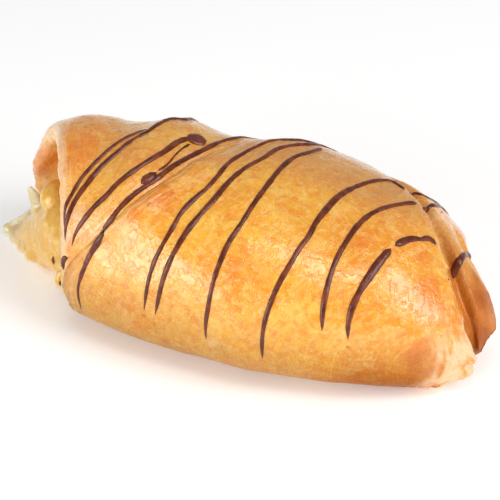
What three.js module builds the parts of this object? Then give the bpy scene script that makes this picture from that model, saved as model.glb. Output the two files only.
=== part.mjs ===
// A filled danish pastry. One diamond of laminated dough is folded over a soft custard:
// first the far flap, from the back over the top, then the near flap, from the front
// over the far one. Both ends stay open, and the custard bulges out of the left one.
//
// Millimetres, +X along the pastry towards its pinched end, -Y to the front, +Z up.
// A "turn" is an angle round the pastry, in degrees from the middle of its base:
// negative turns climb the front side, positive turns climb the back side.
import * as THREE from 'three';

// The outer envelope: at each station along x, its height and its half widths to the
// front and to the back.
const STATIONS = [
  { x: -75.5, height: 35.9, front: 19.3, back: 22.0 },
  { x: -59.0, height: 45.4, front: 24.8, back: 26.7 },
  { x: -44.0, height: 48.5, front: 28.0, back: 28.5 },
  { x: -27.6, height: 49.9, front: 31.7, back: 30.8 },
  { x: -9.2, height: 48.8, front: 35.6, back: 33.6 },
  { x: 9.2, height: 47.2, front: 36.3, back: 36.8 },
  { x: 27.6, height: 43.2, front: 34.2, back: 34.5 },
  { x: 46.0, height: 38.6, front: 28.5, back: 26.2 },
  { x: 59.0, height: 27.1, front: 20.2, back: 18.4 },
  { x: 70.0, height: 13.8, front: 8.3, back: 8.3 },
];

// The cut edges of the dough sheet: the x of its left and right edge at each turn.
const NEAR_TIP = -240;
const FAR_TIP = 272;
const EDGES = [
  { turn: NEAR_TIP, left: 9.0, right: 22.0 },
  { turn: -215, left: -5.5, right: 37.0 },
  { turn: -180, left: -15.0, right: 50.5 },
  { turn: -150, left: -21.0, right: 56.5 },
  { turn: -120, left: -33.0, right: 62.0 },
  { turn: -92, left: -44.5, right: 64.8 },
  { turn: -68, left: -45.0, right: 61.6 },
  { turn: -45, left: -47.0, right: 56.4 },
  { turn: 0, left: -52.5, right: 54.5 },
  { turn: 35, left: -62.5, right: 56.0 },
  { turn: 65, left: -72.5, right: 55.0 },
  { turn: 95, left: -75.5, right: 55.0 },
  { turn: 125, left: -73.5, right: 53.5 },
  { turn: 150, left: -67.0, right: 56.6 },
  { turn: 175, left: -60.0, right: 65.0 },
  { turn: 199, left: -53.5, right: 67.2 },
  { turn: 240, left: -46.5, right: 66.0 },
  { turn: FAR_TIP, left: -46.0, right: 64.5 },
];

// Rise of the top at each x: it sags between the folds.
const WAVES = [
  { x: -60, rise: 0.3 },
  { x: -54, rise: 0.7 },
  { x: -48, rise: 0 },
  { x: -42, rise: -1.0 },
  { x: -36, rise: -0.6 },
  { x: -30, rise: 0.8 },
  { x: -24, rise: 0.1 },
  { x: -18, rise: -1.4 },
  { x: -12, rise: -1.8 },
  { x: -6, rise: -1.1 },
  { x: 1, rise: 0 },
];
const WAVES_BACK = { start: 108, end: 135 }; // turns between which the top begins, on either side
const WAVES_FRONT = { start: 245, end: 215 };

// Rise of the far flap's rolled rim at the pinched end, at each turn.
const RIM_LIFT = [
  { turn: 128, rise: 0 },
  { turn: 142, rise: -0.9 },
  { turn: 154, rise: -1.8 },
  { turn: 166, rise: -0.9 },
  { turn: 180, rise: 0.9 },
  { turn: 198, rise: 1.6 },
  { turn: 220, rise: 0.4 },
  { turn: 240, rise: 0 },
];
const RIM_PLACE = 3.4; // the rim's middle and half width, from the far flap's right edge
const RIM_WIDTH = 3.0;

// Where the middle of the whole pastry's box lies in these axes.
const MIDDLE_X = -6.73;
const MIDDLE_Y = 0.21;

const SPINE_PART = 0.4; // height of the line that the turns go round, as a part of the height
const BASE_OVERRUN = 1.08; // how far the round section would reach below the base, in spine heights
const ROUND_TOP = 2.25; // superellipse powers of the section, above and below the spine
const ROUND_BASE = 2.7;

const NEAR_WALL = 9.0; // the near flap's thickness, and how much thinner it gets at its edges
const NEAR_THINNER_LEFT = 6.6;
const NEAR_THINNER_RIGHT = 5.6;
const NEAR_THINNEST_RIGHT = 6.8; // the same at the top and the back, where it lies nearly flush
const FLUSH = { start: -176, end: -192 };
const NEAR_TAPER = 17; // width of the strip along an edge in which it thins
const NEAR_TIP_TAPER = 36; // the same at its tip, in degrees
const NEAR_TIP_PART = 0.55; // the part of its thickness left at the tip
const FAR_WALL = 11.0; // the same for the base and the far flap
const FAR_THINNER_LEFT = 5.9;
const FAR_THINNER_RIGHT = 4.6;
const FAR_TAPER = 17;
const BASE_BLEND = 60; // turn within which the near wall becomes the base wall
const FLOOR = 8.5; // height of the dough floor under the filling, and the most it may be
const FLOOR_PART = 0.3; // as a part of the envelope's height, at the low right end
const TUNNEL_PART = 0.5; // the least that the inner skin's distance may be of the outer skin's
const LAYER_GAP = 1.0; // between the two flaps
const SINK_LEFT = 9.2; // width of the slope from the near flap's left edge up to full height
const SINK_START = 100; // turns at which the far flap starts to sink under the near flap's tip
const SINK_END = 114;
const GROOVE_DEPTH = 1.2; // groove along the near flap's right edge: extra depth, place and width
const GROOVE_PLACE = 2.4;
const GROOVE_WIDTH = 2.4;
const GROOVE_RUN_IN = 2.0; // distance from that edge over which it deepens
const BOWL = { start: 166, end: 190 }; // turns between which the groove and the bowl begin
const RISE_START = 0.9; // the far flap rises from the near flap's right edge within this reach
const RISE_END = 4.6;
const BOWL_START = 0.6; // the same where it makes a bowl with a rolled rim
const BOWL_END = 6.6;
const RIM_PART = 0.8; // the most of the way between the two edges that the rise may take

const SHEET_TURNS = 54; // grid steps round the sheet and across it
const SHEET_STEPS = 32;

// The filling: a core in the tunnel that turns into a mound in front of the left mouth.
const FILLING_GAP = 0.5; // clear of the dough
const TURN_MARGIN = 7; // the dough is kept clear of within this turn and this distance along x
const X_MARGIN = 3;
const FILLING_RIGHT = 53.0; // the core's end in the pinched mouth
const CORE_START = -46.0; // from here on the core fills the tunnel
const MOUND_END = -56.0; // up to here the mound has its own section
const MOUND = [
  { x: -80.83, middle: 11.2, half: 2.2, top: 3.2 },
  { x: -77.4, middle: 10.4, half: 4.2, top: 6.4 },
  { x: -74.4, middle: 9.6, half: 5.6, top: 9.2 },
  { x: -71.0, middle: 8.4, half: 7.0, top: 11.6 },
  { x: -66.0, middle: 6.0, half: 8.6, top: 15.0 },
  { x: -60.0, middle: 2.8, half: 10.0, top: 18.0 },
  { x: -48.0, middle: -1.0, half: 10.5, top: 24.0 },
];
const MOUND_WAIST = 0.42; // height of the mound's widest line, as a part of its top
const MOUND_FOOT = 1.15; // how far its round section would reach below the ground
const SHOULDER_TURN = 279; // past the far flap's tip the core widens to the near flap's wall
const SHOULDER_END = 284;
const LEDGE_REACH = 3.0; // the mound stays on the dough floor this far past the base's edge
const LEDGE_DROP = 3.5; // then it comes down to the ground over this width
const FLOOR_EDGE = { middle: -52.5, front: -47.0, back: -75.0, frontY: -9.5, backY: 15.5 };
const FILLING_STEPS = 34;
const FILLING_SIDES = 26;

// Cubic through the points of a table, held at its ends.
function curve(table, key, value) {
  const last = table.length - 1;
  const rise = (i, j) => (table[j][value] - table[i][value]) / (table[j][key] - table[i][key]);
  const slope = (k) => {
    if (k === 0 || k === last) {
      return rise(Math.max(k - 1, 0), Math.min(k + 1, last));
    }
    const before = table[k][key] - table[k - 1][key];
    const after = table[k + 1][key] - table[k][key];
    return (rise(k - 1, k) * after + rise(k, k + 1) * before) / (before + after);
  };
  return (at) => {
    const clamped = THREE.MathUtils.clamp(at, table[0][key], table[last][key]);
    const i = Math.max(table.findIndex((row) => row[key] >= clamped), 1);
    const [a, b] = [table[i - 1], table[i]];
    const width = b[key] - a[key];
    const t = (clamped - a[key]) / width;
    const t2 = t * t;
    const t3 = t2 * t;
    return (2 * t3 - 3 * t2 + 1) * a[value]
      + (t3 - 2 * t2 + t) * width * slope(i - 1)
      + (-2 * t3 + 3 * t2) * b[value]
      + (t3 - t2) * width * slope(i);
  };
}

// 0 at and before start, 1 at and after end, smooth between.
function ramp(start, end, at) {
  const t = THREE.MathUtils.clamp((at - start) / (end - start), 0, 1);
  return t * t * (3 - 2 * t);
}

// Bell of height 1 round a middle.
function bell(middle, width, at) {
  return Math.exp(-(((at - middle) / width) ** 2));
}

const heightAt = curve(STATIONS, 'x', 'height');
const frontAt = curve(STATIONS, 'x', 'front');
const backAt = curve(STATIONS, 'x', 'back');
const leftEdge = curve(EDGES, 'turn', 'left');
const rightEdge = curve(EDGES, 'turn', 'right');
const waveAt = curve(WAVES, 'x', 'rise');
const rimLift = curve(RIM_LIFT, 'turn', 'rise');
const moundMiddle = curve(MOUND, 'x', 'middle');
const moundHalf = curve(MOUND, 'x', 'half');
const moundTop = curve(MOUND, 'x', 'top');

// Distance of the envelope from the spine, in the direction of a turn.
function reach(turn, x) {
  const angle = THREE.MathUtils.degToRad(turn - 90);
  const spine = SPINE_PART * heightAt(x);
  const above = Math.sin(angle) >= 0;
  const width = Math.cos(angle) < 0 ? frontAt(x) : backAt(x);
  const tall = above ? heightAt(x) - spine : spine * BASE_OVERRUN;
  const power = above ? ROUND_TOP : ROUND_BASE;
  const across = Math.abs(Math.cos(angle)) / width;
  const up = Math.abs(Math.sin(angle)) / tall;
  return (across ** power + up ** power) ** (-1 / power);
}

// Point in the direction of a turn, at a distance from the spine and above a lowest height.
function place(turn, x, distance, lowest) {
  const angle = THREE.MathUtils.degToRad(turn - 90);
  const spine = SPINE_PART * heightAt(x);
  const z = Math.max(spine + distance * Math.sin(angle), lowest);
  return new THREE.Vector3(x, distance * Math.cos(angle), z);
}

// Height of the dough floor.
function floorAt(x) {
  return Math.min(FLOOR, FLOOR_PART * heightAt(x));
}

// Thickness of the dough.
function wall(turn, x) {
  const left = x - leftEdge(turn);
  const right = rightEdge(turn) - x;
  const far = FAR_WALL - FAR_THINNER_LEFT * ramp(FAR_TAPER, 0, left)
    - FAR_THINNER_RIGHT * ramp(FAR_TAPER, 0, right);
  if (turn >= 0) {
    return far;
  }
  const flush = ramp(FLUSH.start, FLUSH.end, turn);
  const thinnerRight = THREE.MathUtils.lerp(NEAR_THINNER_RIGHT, NEAR_THINNEST_RIGHT, flush);
  const thinned = NEAR_WALL - NEAR_THINNER_LEFT * ramp(NEAR_TAPER, 0, left)
    - thinnerRight * ramp(NEAR_TAPER, 0, right);
  const tip = ramp(NEAR_TIP_TAPER, 0, turn - NEAR_TIP);
  const near = thinned * THREE.MathUtils.lerp(1, NEAR_TIP_PART, tip);
  return THREE.MathUtils.lerp(near, far, ramp(-BASE_BLEND, 0, turn));
}

// How far the outer skin lies under the envelope: the far flap sinks under the near one,
// and rises again to its left and to its right, where a bowl leads up to a rolled rim.
function sink(turn, x) {
  if (turn <= SINK_START) {
    return 0;
  }
  const above = turn - 360;
  const left = leftEdge(above);
  const right = rightEdge(above);
  const under = wall(above, THREE.MathUtils.clamp(x, left, right)) + LAYER_GAP;
  let depth = under;
  if (x < left) {
    depth = under * (1 - ramp(0, SINK_LEFT, left - x));
  } else if (x > right) {
    depth = sinkBeside(turn, x, under);
  }
  return depth * ramp(SINK_START, SINK_END, turn);
}

// The same to the right of the near flap.
function sinkBeside(turn, x, under) {
  const out = x - rightEdge(turn - 360);
  const width = Math.max(rightEdge(turn) - rightEdge(turn - 360), 1);
  const bowl = ramp(BOWL.start, BOWL.end, turn);
  const groove = GROOVE_DEPTH * bell(GROOVE_PLACE, GROOVE_WIDTH, out) * ramp(0, GROOVE_RUN_IN, out);
  const start = THREE.MathUtils.lerp(RISE_START, BOWL_START, bowl);
  const end = THREE.MathUtils.lerp(RISE_END, BOWL_END, bowl);
  const part = out * Math.max(1, end / (RIM_PART * width));
  const lift = rimLift(turn) * bell(RIM_PLACE, RIM_WIDTH, rightEdge(turn) - x);
  return (under + groove * bowl) * (1 - ramp(start, end, part)) - lift;
}

// Distance of the outer skin from the spine.
function outerReach(turn, x) {
  const level = turn < 0 ? turn + 360 : turn;
  const top = ramp(WAVES_BACK.start, WAVES_BACK.end, level)
    * ramp(WAVES_FRONT.start, WAVES_FRONT.end, level);
  return reach(turn, x) + waveAt(x) * top - sink(turn, x);
}

// Distance of the inner skin from the spine. In the narrow right end the dough thins, so that
// the tunnel stays open.
function innerReach(turn, x) {
  const outer = outerReach(turn, x);
  return Math.max(outer - wall(turn, x), TUNNEL_PART * outer);
}

// A closed body from rings of points: rings[i][j], each ring closed on itself, the first
// and last ring capped by a fan to their middle.
function loft(rings) {
  const count = rings[0].length;
  const positions = rings.flat().flatMap((p) => p.toArray());
  const index = [];
  for (let i = 0; i + 1 < rings.length; i += 1) {
    for (let j = 0; j < count; j += 1) {
      const next = (j + 1) % count;
      const [a, b] = [i * count + j, i * count + next];
      const [c, d] = [a + count, b + count];
      index.push(a, b, d, a, d, c);
    }
  }
  const caps = [{ ring: 0, flip: true }, { ring: rings.length - 1, flip: false }];
  for (const { ring, flip } of caps) {
    const middle = new THREE.Vector3();
    rings[ring].forEach((p) => middle.addScaledVector(p, 1 / count));
    const centre = positions.length / 3;
    positions.push(...middle.toArray());
    for (let j = 0; j < count; j += 1) {
      const a = ring * count + j;
      const b = ring * count + ((j + 1) % count);
      index.push(centre, ...(flip ? [b, a] : [a, b]));
    }
  }
  return bodyOf(positions, index);
}

function bodyOf(positions, index) {
  const geometry = new THREE.BufferGeometry();
  geometry.setAttribute('position', new THREE.Float32BufferAttribute(positions, 3));
  geometry.setIndex(index);
  geometry.computeVertexNormals();
  return geometry;
}

// The dough: one sheet, an outer and an inner skin joined along its four edges.
function doughGeometry() {
  const turns = SHEET_TURNS;
  const steps = SHEET_STEPS;
  const row = steps + 1;
  const positions = [];
  const skins = [0, 1];
  for (const inner of skins) {
    for (let i = 0; i <= turns; i += 1) {
      const turn = THREE.MathUtils.lerp(NEAR_TIP, FAR_TIP, i / turns);
      for (let j = 0; j <= steps; j += 1) {
        const x = THREE.MathUtils.lerp(leftEdge(turn), rightEdge(turn), j / steps);
        const distance = inner ? innerReach(turn, x) : outerReach(turn, x);
        positions.push(...place(turn, x, distance, inner * floorAt(x)).toArray());
      }
    }
  }
  const index = [];
  const quad = (a, b, c, d) => index.push(a, b, c, a, c, d);
  const innerStart = (turns + 1) * row;
  const at = (i, j) => i * row + j;
  for (let i = 0; i < turns; i += 1) {
    for (let j = 0; j < steps; j += 1) {
      const corners = [at(i, j), at(i + 1, j), at(i + 1, j + 1), at(i, j + 1)];
      // The diagonals follow the seams, which lean one way on the left and the other on the right.
      const [a, b, c, d] = j < steps / 2 ? [...corners.slice(1), corners[0]] : corners;
      quad(a, b, c, d);
      quad(...[a, d, c, b].map((k) => k + innerStart));
    }
  }
  const edge = (path) => {
    for (let k = 0; k + 1 < path.length; k += 1) {
      quad(path[k + 1], path[k], path[k] + innerStart, path[k + 1] + innerStart);
    }
  };
  const along = (count, pick) => Array.from({ length: count + 1 }, (_, k) => pick(k));
  edge(along(turns, (k) => at(k, 0)));
  edge(along(turns, (k) => at(turns - k, steps)));
  edge(along(steps, (k) => at(0, steps - k)));
  edge(along(steps, (k) => at(turns, k)));
  return bodyOf(positions, index);
}

// Clear distance from the spine to the inside of the dough, in the direction of a turn.
function hollow(turn, x) {
  const wrapped = THREE.MathUtils.euclideanModulo(turn, 360);
  const far = innerReach(wrapped, x);
  if (wrapped <= SHOULDER_TURN) {
    return far;
  }
  const near = innerReach(wrapped - 360, x);
  return THREE.MathUtils.lerp(far, near, ramp(SHOULDER_TURN, SHOULDER_END, wrapped));
}

// The smallest hollow within a grid step round a point, so that no facet cuts the dough.
function clearance(turn, x) {
  const steps = [-1, 0, 1];
  const around = (i) => steps.map((j) => hollow(turn + i * TURN_MARGIN, x + j * X_MARGIN));
  return Math.min(...steps.flatMap(around));
}

// x of the dough floor's left edge at a place y across the pastry.
function floorEdge(y) {
  const { middle, front, back, frontY, backY } = FLOOR_EDGE;
  return y < 0
    ? THREE.MathUtils.lerp(middle, front, Math.min(y / frontY, 1))
    : THREE.MathUtils.lerp(middle, back, Math.min(y / backY, 1));
}

// A point on the mound's own section, in the direction of a turn. The section stands on the
// dough floor and, past the floor's edge, on the ground.
function moundPoint(turn, x) {
  const angle = THREE.MathUtils.degToRad(turn - 90);
  const up = Math.sin(angle);
  const part = up > 0
    ? THREE.MathUtils.lerp(MOUND_WAIST, 1, up)
    : Math.max(MOUND_WAIST * (1 + MOUND_FOOT * up), 0);
  const y = moundMiddle(x) + moundHalf(x) * Math.cos(angle);
  const edge = floorEdge(y) - LEDGE_REACH;
  const foot = ramp(edge - LEDGE_DROP, edge, x) * (floorAt(x) + FILLING_GAP);
  return new THREE.Vector3(x, y, THREE.MathUtils.lerp(foot, moundTop(x), part));
}

// The filling: a loft along x.
function fillingGeometry() {
  const rings = [];
  for (let i = 0; i <= FILLING_STEPS; i += 1) {
    const x = THREE.MathUtils.lerp(MOUND[0].x, FILLING_RIGHT, i / FILLING_STEPS);
    const core = ramp(MOUND_END, CORE_START, x);
    const ring = [];
    for (let j = 0; j < FILLING_SIDES; j += 1) {
      const turn = (360 * j) / FILLING_SIDES;
      const p = place(turn, x, clearance(turn, x) - FILLING_GAP, floorAt(x) + FILLING_GAP);
      ring.push(p.lerp(moundPoint(turn, x), 1 - core));
    }
    rings.push(ring);
  }
  return loft(rings);
}

const crust = new THREE.MeshStandardMaterial({ color: 0xe9a044, roughness: 0.35, metalness: 0 });
const custard = new THREE.MeshStandardMaterial({ color: 0xe6bd62, roughness: 0.3, metalness: 0 });

const dough = new THREE.Mesh(doughGeometry(), crust);
dough.name = 'dough';
const filling = new THREE.Mesh(fillingGeometry(), custard);
filling.name = 'filling';

const pastry = new THREE.Group();
pastry.add(dough, filling);
pastry.position.set(-MIDDLE_X, -MIDDLE_Y, 0);

export default pastry;
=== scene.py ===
"""A filled danish pastry: folded laminated dough, a soft yellow filling and thin chocolate lines."""

import sys

import logging
import math
from dataclasses import dataclass, field
from enum import Enum
from typing import Sequence

import bmesh
import bpy
import numpy as np
from mathutils import Matrix, Vector, noise
from mathutils.bvhtree import BVHTree


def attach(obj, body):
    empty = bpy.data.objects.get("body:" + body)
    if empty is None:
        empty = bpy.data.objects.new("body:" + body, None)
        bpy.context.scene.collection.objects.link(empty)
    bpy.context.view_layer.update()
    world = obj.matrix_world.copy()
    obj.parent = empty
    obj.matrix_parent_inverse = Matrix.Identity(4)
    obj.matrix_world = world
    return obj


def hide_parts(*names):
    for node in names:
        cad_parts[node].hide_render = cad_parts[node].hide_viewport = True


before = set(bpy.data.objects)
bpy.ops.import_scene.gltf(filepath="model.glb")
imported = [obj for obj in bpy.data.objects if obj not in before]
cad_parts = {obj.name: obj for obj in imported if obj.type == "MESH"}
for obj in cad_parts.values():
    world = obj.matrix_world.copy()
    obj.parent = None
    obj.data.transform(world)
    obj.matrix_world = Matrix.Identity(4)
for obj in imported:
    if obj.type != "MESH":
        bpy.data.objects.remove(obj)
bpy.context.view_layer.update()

LOG = logging.getLogger("pastry")
MM = 0.001  # the form is worked out in millimetres, and the meshes are in metres
WELD = 1e-7  # points nearer than this, in metres, become one
BODY = "root"
Colour = tuple[float, float, float]
Pixel = tuple[float, float]
Range = tuple[float, float, float, float]  # from low, from high, to low and to high
Crowding = tuple[float, tuple[float, float], tuple[float, float]]


class Slot(Enum):
    """The record's material slots."""

    CRUST = "crust"
    FILLING = "filling"
    CHOCOLATE = "chocolate"


# ---------------------------------------------------------------- small sums


def ramp(start: float, end: float, at: np.ndarray) -> np.ndarray:
    """Smooth step.

    Args:
        start: Where the result is 0.
        end: Where the result is 1; it may lie below start.
        at: The values to look up.

    Returns:
        A value from 0 to 1 for each entry of at.
    """
    t = np.clip((np.asarray(at, float) - start) / (end - start), 0, 1)
    return t * t * (3 - 2 * t)


def hill(middle: float, width: float, at: np.ndarray) -> np.ndarray:
    """Bell curve of height 1.

    Args:
        middle: Where its top is.
        width: Distance from the top at which it has fallen to about a third.
        at: The values to look up.

    Returns:
        The height at each entry of at.
    """
    return np.exp(-(((np.asarray(at, float) - middle) / width) ** 2))


def blend(a: np.ndarray, b: np.ndarray, t: np.ndarray) -> np.ndarray:
    """a where t is 0, b where t is 1, and a straight mix between."""
    return a + (b - a) * t


def ripple(points: np.ndarray, size: Sequence[float], seed: float, octaves: int = 3) -> np.ndarray:
    """Soft noise.

    Args:
        points: Places, three numbers a row.
        size: The size of its lumps along each axis, in the places' unit.
        seed: Moves the pattern, so that two uses differ.
        octaves: How many times finer lumps of half the height are added.

    Returns:
        About -1 to 1 for each place.
    """
    scaled = points / np.asarray(size, float) + (seed * 17.3, seed * 5.1, seed * 9.7)
    return np.array([noise.fractal(p, 1.0, 2.0, octaves) for p in scaled.tolist()])


class SmoothTable:
    """A cubic through the rows of a table, held at its ends."""

    def __init__(self, keys: Sequence[float], values: Sequence[float]) -> None:
        """Works out the slopes.

        Args:
            keys: The places, rising.
            values: The value at each place.
        """
        self.keys = np.array(keys, float)
        self.values = np.array(values, float)
        widths = np.diff(self.keys)
        rises = np.diff(self.values) / widths
        inner = (rises[:-1] * widths[1:] + rises[1:] * widths[:-1]) / (widths[:-1] + widths[1:])
        self.slopes = np.concatenate([rises[:1], inner, rises[-1:]])

    def __call__(self, at: np.ndarray) -> np.ndarray:
        """The value at each place in at."""
        held = np.clip(np.asarray(at, float), self.keys[0], self.keys[-1])
        i = np.clip(np.searchsorted(self.keys, held) - 1, 0, len(self.keys) - 2)
        width = self.keys[i + 1] - self.keys[i]
        t = (held - self.keys[i]) / width
        t2, t3 = t * t, t * t * t
        return (
            (2 * t3 - 3 * t2 + 1) * self.values[i]
            + (t3 - 2 * t2 + t) * width * self.slopes[i]
            + (-2 * t3 + 3 * t2) * self.values[i + 1]
            + (t3 - t2) * width * self.slopes[i + 1]
        )


# ---------------------------------------------------------------- the form, in millimetres


class FoldedForm:
    """The shape that the folded dough follows.

    It is the solid model's, but with a thinner left edge on the near flap, a narrower gap between
    the layers and a step in the far flap along that edge. STATIONS and the near flap's rows of
    EDGES began as results of a script that fitted the form to the photograph's outline and seams,
    and were then scaled, rounded and changed by hand.

    A turn is an angle round the pastry in degrees from the middle of its base: negative turns
    climb the front, positive turns climb the back. The near flap lies over the far one.
    """

    STATIONS = (  # x, height, front and back half width
        (-75.5, 35.9, 19.3, 22.0),
        (-59.0, 45.4, 24.8, 26.7),
        (-44.0, 48.5, 28.0, 28.5),
        (-27.6, 49.9, 31.7, 30.8),
        (-9.2, 48.8, 35.6, 33.6),
        (9.2, 47.2, 36.3, 36.8),
        (27.6, 43.2, 34.2, 34.5),
        (46.0, 38.6, 28.5, 26.2),
        (59.0, 27.1, 20.2, 18.4),
        (70.0, 13.8, 8.3, 8.3),
    )
    EDGES = (  # turn, left edge and right edge of the sheet
        (-240, 9.0, 22.0),
        (-215, -5.5, 37.0),
        (-180, -15.0, 50.5),
        (-150, -21.0, 56.5),
        (-120, -33.0, 62.0),
        (-92, -44.5, 64.8),
        (-68, -45.0, 61.6),
        (-45, -47.0, 56.4),
        (0, -52.5, 54.5),
        (35, -62.5, 56.0),
        (65, -72.5, 55.0),
        (95, -75.5, 55.0),
        (125, -73.5, 53.5),
        (150, -67.0, 56.6),
        (175, -60.0, 65.0),
        (199, -53.5, 67.2),
        (240, -46.5, 66.0),
        (272, -46.0, 64.5),
    )
    WAVES = (  # x and rise of the top, which sags between the folds
        (-60.0, 0.3),
        (-54.0, 0.7),
        (-48.0, 0.0),
        (-42.0, -1.0),
        (-36.0, -0.6),
        (-30.0, 0.8),
        (-24.0, 0.1),
        (-18.0, -1.4),
        (-12.0, -1.8),
        (-6.0, -1.1),
        (1.0, 0.0),
    )
    RIM_LIFT = (  # turn and rise of the far flap's rim at the pinched end
        (128, 0.0),
        (142, -0.9),
        (154, -1.8),
        (166, -0.9),
        (180, 0.9),
        (198, 1.6),
        (220, 0.4),
        (240, 0.0),
    )
    NEAR_TIP = -240.0
    FAR_TIP = 272.0
    MIDDLE = (-6.73, 0.21)  # the middle of the whole pastry's box in the form's own axes
    SPINE_PART = 0.4
    BASE_OVERRUN = 1.08
    ROUND_TOP = 2.25
    ROUND_BASE = 2.7
    NEAR_WALL = 9.0
    NEAR_THINNER_LEFT = 7.4
    NEAR_THINNER_RIGHT = 5.6
    NEAR_THINNEST_RIGHT = 6.8  # the same at the top and the back, where the flap lies nearly flush
    FLUSH_START = -176.0
    FLUSH_END = -192.0
    FAR_WALL = 11.0
    FAR_THINNER_LEFT = 5.9
    FAR_THINNER_RIGHT = 4.6
    TAPER = 17.0
    NEAR_TIP_TAPER = 36.0
    NEAR_TIP_PART = 0.55
    BASE_BLEND = 60.0
    FLOOR = 8.5
    FLOOR_PART = 0.3
    TUNNEL_PART = 0.5
    LAYER_GAP = 0.3
    SINK_LEFT = 9.2
    SINK_START = 100.0
    SINK_END = 114.0
    SEAM_START = -0.8  # the far flap steps up past the near flap's left edge, between these
    SEAM_END = 0.5
    SEAM_PART = 0.62  # the part of its depth that it steps up
    GROOVE_DEPTH = 1.2
    GROOVE_PLACE = 2.4
    GROOVE_WIDTH = 2.4
    GROOVE_START = 166.0
    GROOVE_END = 190.0
    RISE_START = 0.9  # the far flap rises from the near flap's right edge to its own, in this reach
    RISE_END = 4.6
    BOWL_START = 0.6  # the same where it makes a bowl, with a rolled rim
    BOWL_END = 6.6
    RIM_PART = 0.8  # the most of the way between the two edges that the rise may take
    RIM_PLACE = 3.4
    RIM_WIDTH = 3.0
    GROOVE_EDGE = 2.0  # the groove starts from nothing in this reach
    SAG_FRONT = (108, 135)  # the top sags between these turns, in front and at the back
    SAG_BACK = (245, 215)

    def __init__(self) -> None:
        """Makes the curves through the tables."""
        x, height, front, back = zip(*self.STATIONS)
        turn, left, right = zip(*self.EDGES)
        self.height = SmoothTable(x, height)
        self.front = SmoothTable(x, front)
        self.back = SmoothTable(x, back)
        self.left = SmoothTable(turn, left)
        self.right = SmoothTable(turn, right)
        self.waves = SmoothTable(*zip(*self.WAVES))
        self.rim_lift = SmoothTable(*zip(*self.RIM_LIFT))

    def spine(self, x: np.ndarray) -> np.ndarray:
        """Height of the line that the turns go round."""
        return self.SPINE_PART * self.height(x)

    def reach(self, turn: np.ndarray, x: np.ndarray) -> np.ndarray:
        """Distance of the outer envelope from the spine in the direction of a turn."""
        angle = np.radians(turn - 90)
        spine = self.spine(x)
        above = np.sin(angle) >= 0
        width = np.where(np.cos(angle) < 0, self.front(x), self.back(x))
        tall = np.where(above, self.height(x) - spine, spine * self.BASE_OVERRUN)
        power = np.where(above, self.ROUND_TOP, self.ROUND_BASE)
        across = np.abs(np.cos(angle)) / width
        up = np.abs(np.sin(angle)) / tall
        return (across**power + up**power) ** (-1 / power)

    def floor(self, x: np.ndarray) -> np.ndarray:
        """Height of the dough floor."""
        return np.minimum(self.FLOOR, self.FLOOR_PART * self.height(x))

    def wall(self, turn: np.ndarray, x: np.ndarray) -> np.ndarray:
        """Thickness of the dough."""
        left = x - self.left(turn)
        right = self.right(turn) - x
        from_left = ramp(self.TAPER, 0, left)
        from_right = ramp(self.TAPER, 0, right)
        far = self.FAR_WALL - self.FAR_THINNER_LEFT * from_left - self.FAR_THINNER_RIGHT * from_right
        flush = ramp(self.FLUSH_START, self.FLUSH_END, turn)
        thinner_right = blend(self.NEAR_THINNER_RIGHT, self.NEAR_THINNEST_RIGHT, flush)
        near = self.NEAR_WALL - self.NEAR_THINNER_LEFT * from_left - thinner_right * from_right
        near = near * blend(1, self.NEAR_TIP_PART, ramp(self.NEAR_TIP_TAPER, 0, turn - self.NEAR_TIP))
        return blend(near, far, ramp(-self.BASE_BLEND, 0, turn))

    def sink(self, turn: np.ndarray, x: np.ndarray) -> np.ndarray:
        """How far the far flap lies under the envelope: beneath the near flap, then a slope up to its
        left, and a groove and a rolled rim to its right."""
        above = turn - 360
        left, right = self.left(above), self.right(above)
        under = self.wall(above, np.clip(x, left, right)) + self.LAYER_GAP
        out = x - right
        width = np.maximum(self.right(turn) - right, 1.0)
        bowl = ramp(self.GROOVE_START, self.GROOVE_END, turn)
        groove = self.GROOVE_DEPTH * hill(self.GROOVE_PLACE, self.GROOVE_WIDTH, out)
        groove = groove * ramp(0, self.GROOVE_EDGE, out) * bowl
        start = blend(self.RISE_START, self.BOWL_START, bowl)
        end = blend(self.RISE_END, self.BOWL_END, bowl)
        part = out * np.maximum(1, end / (self.RIM_PART * width))
        beside = (under + groove) * (1 - ramp(0, 1, (part - start) / (end - start)))
        beside = beside - self.rim_lift(turn) * hill(self.RIM_PLACE, self.RIM_WIDTH, self.right(turn) - x)
        step = 1 - self.SEAM_PART * ramp(self.SEAM_START, self.SEAM_END, left - x)
        slope = under * step * (1 - ramp(0, self.SINK_LEFT, left - x))
        depth = np.where(x > right, beside, slope)
        return depth * ramp(self.SINK_START, self.SINK_END, turn)

    def outer(self, turn: np.ndarray, x: np.ndarray) -> np.ndarray:
        """Distance of the outer skin from the spine."""
        level = np.where(turn < 0, turn + 360, turn)
        top = ramp(*self.SAG_FRONT, level) * ramp(*self.SAG_BACK, level)
        return self.reach(turn, x) + self.waves(x) * top - self.sink(turn, x)

    def inner(self, turn: np.ndarray, x: np.ndarray) -> np.ndarray:
        """Distance of the inner skin from the spine."""
        outer = self.outer(turn, x)
        return np.maximum(outer - self.wall(turn, x), self.TUNNEL_PART * outer)

    def place(
        self, turn: np.ndarray, x: np.ndarray, distance: np.ndarray, lowest: np.ndarray
    ) -> np.ndarray:
        """Points in the frame's axes, in millimetres.

        Args:
            turn: Direction round the spine, in degrees.
            x: Place along the pastry, in the form's own axes.
            distance: Distance from the spine.
            lowest: The least height that a point may have.

        Returns:
            One row of x, y and z for each entry.
        """
        angle = np.radians(turn - 90)
        up = np.maximum(self.spine(x) + distance * np.sin(angle), lowest)
        return np.stack([x - self.MIDDLE[0], distance * np.cos(angle) - self.MIDDLE[1], up], axis=-1)


# ---------------------------------------------------------------- mesh and node helpers


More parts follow.
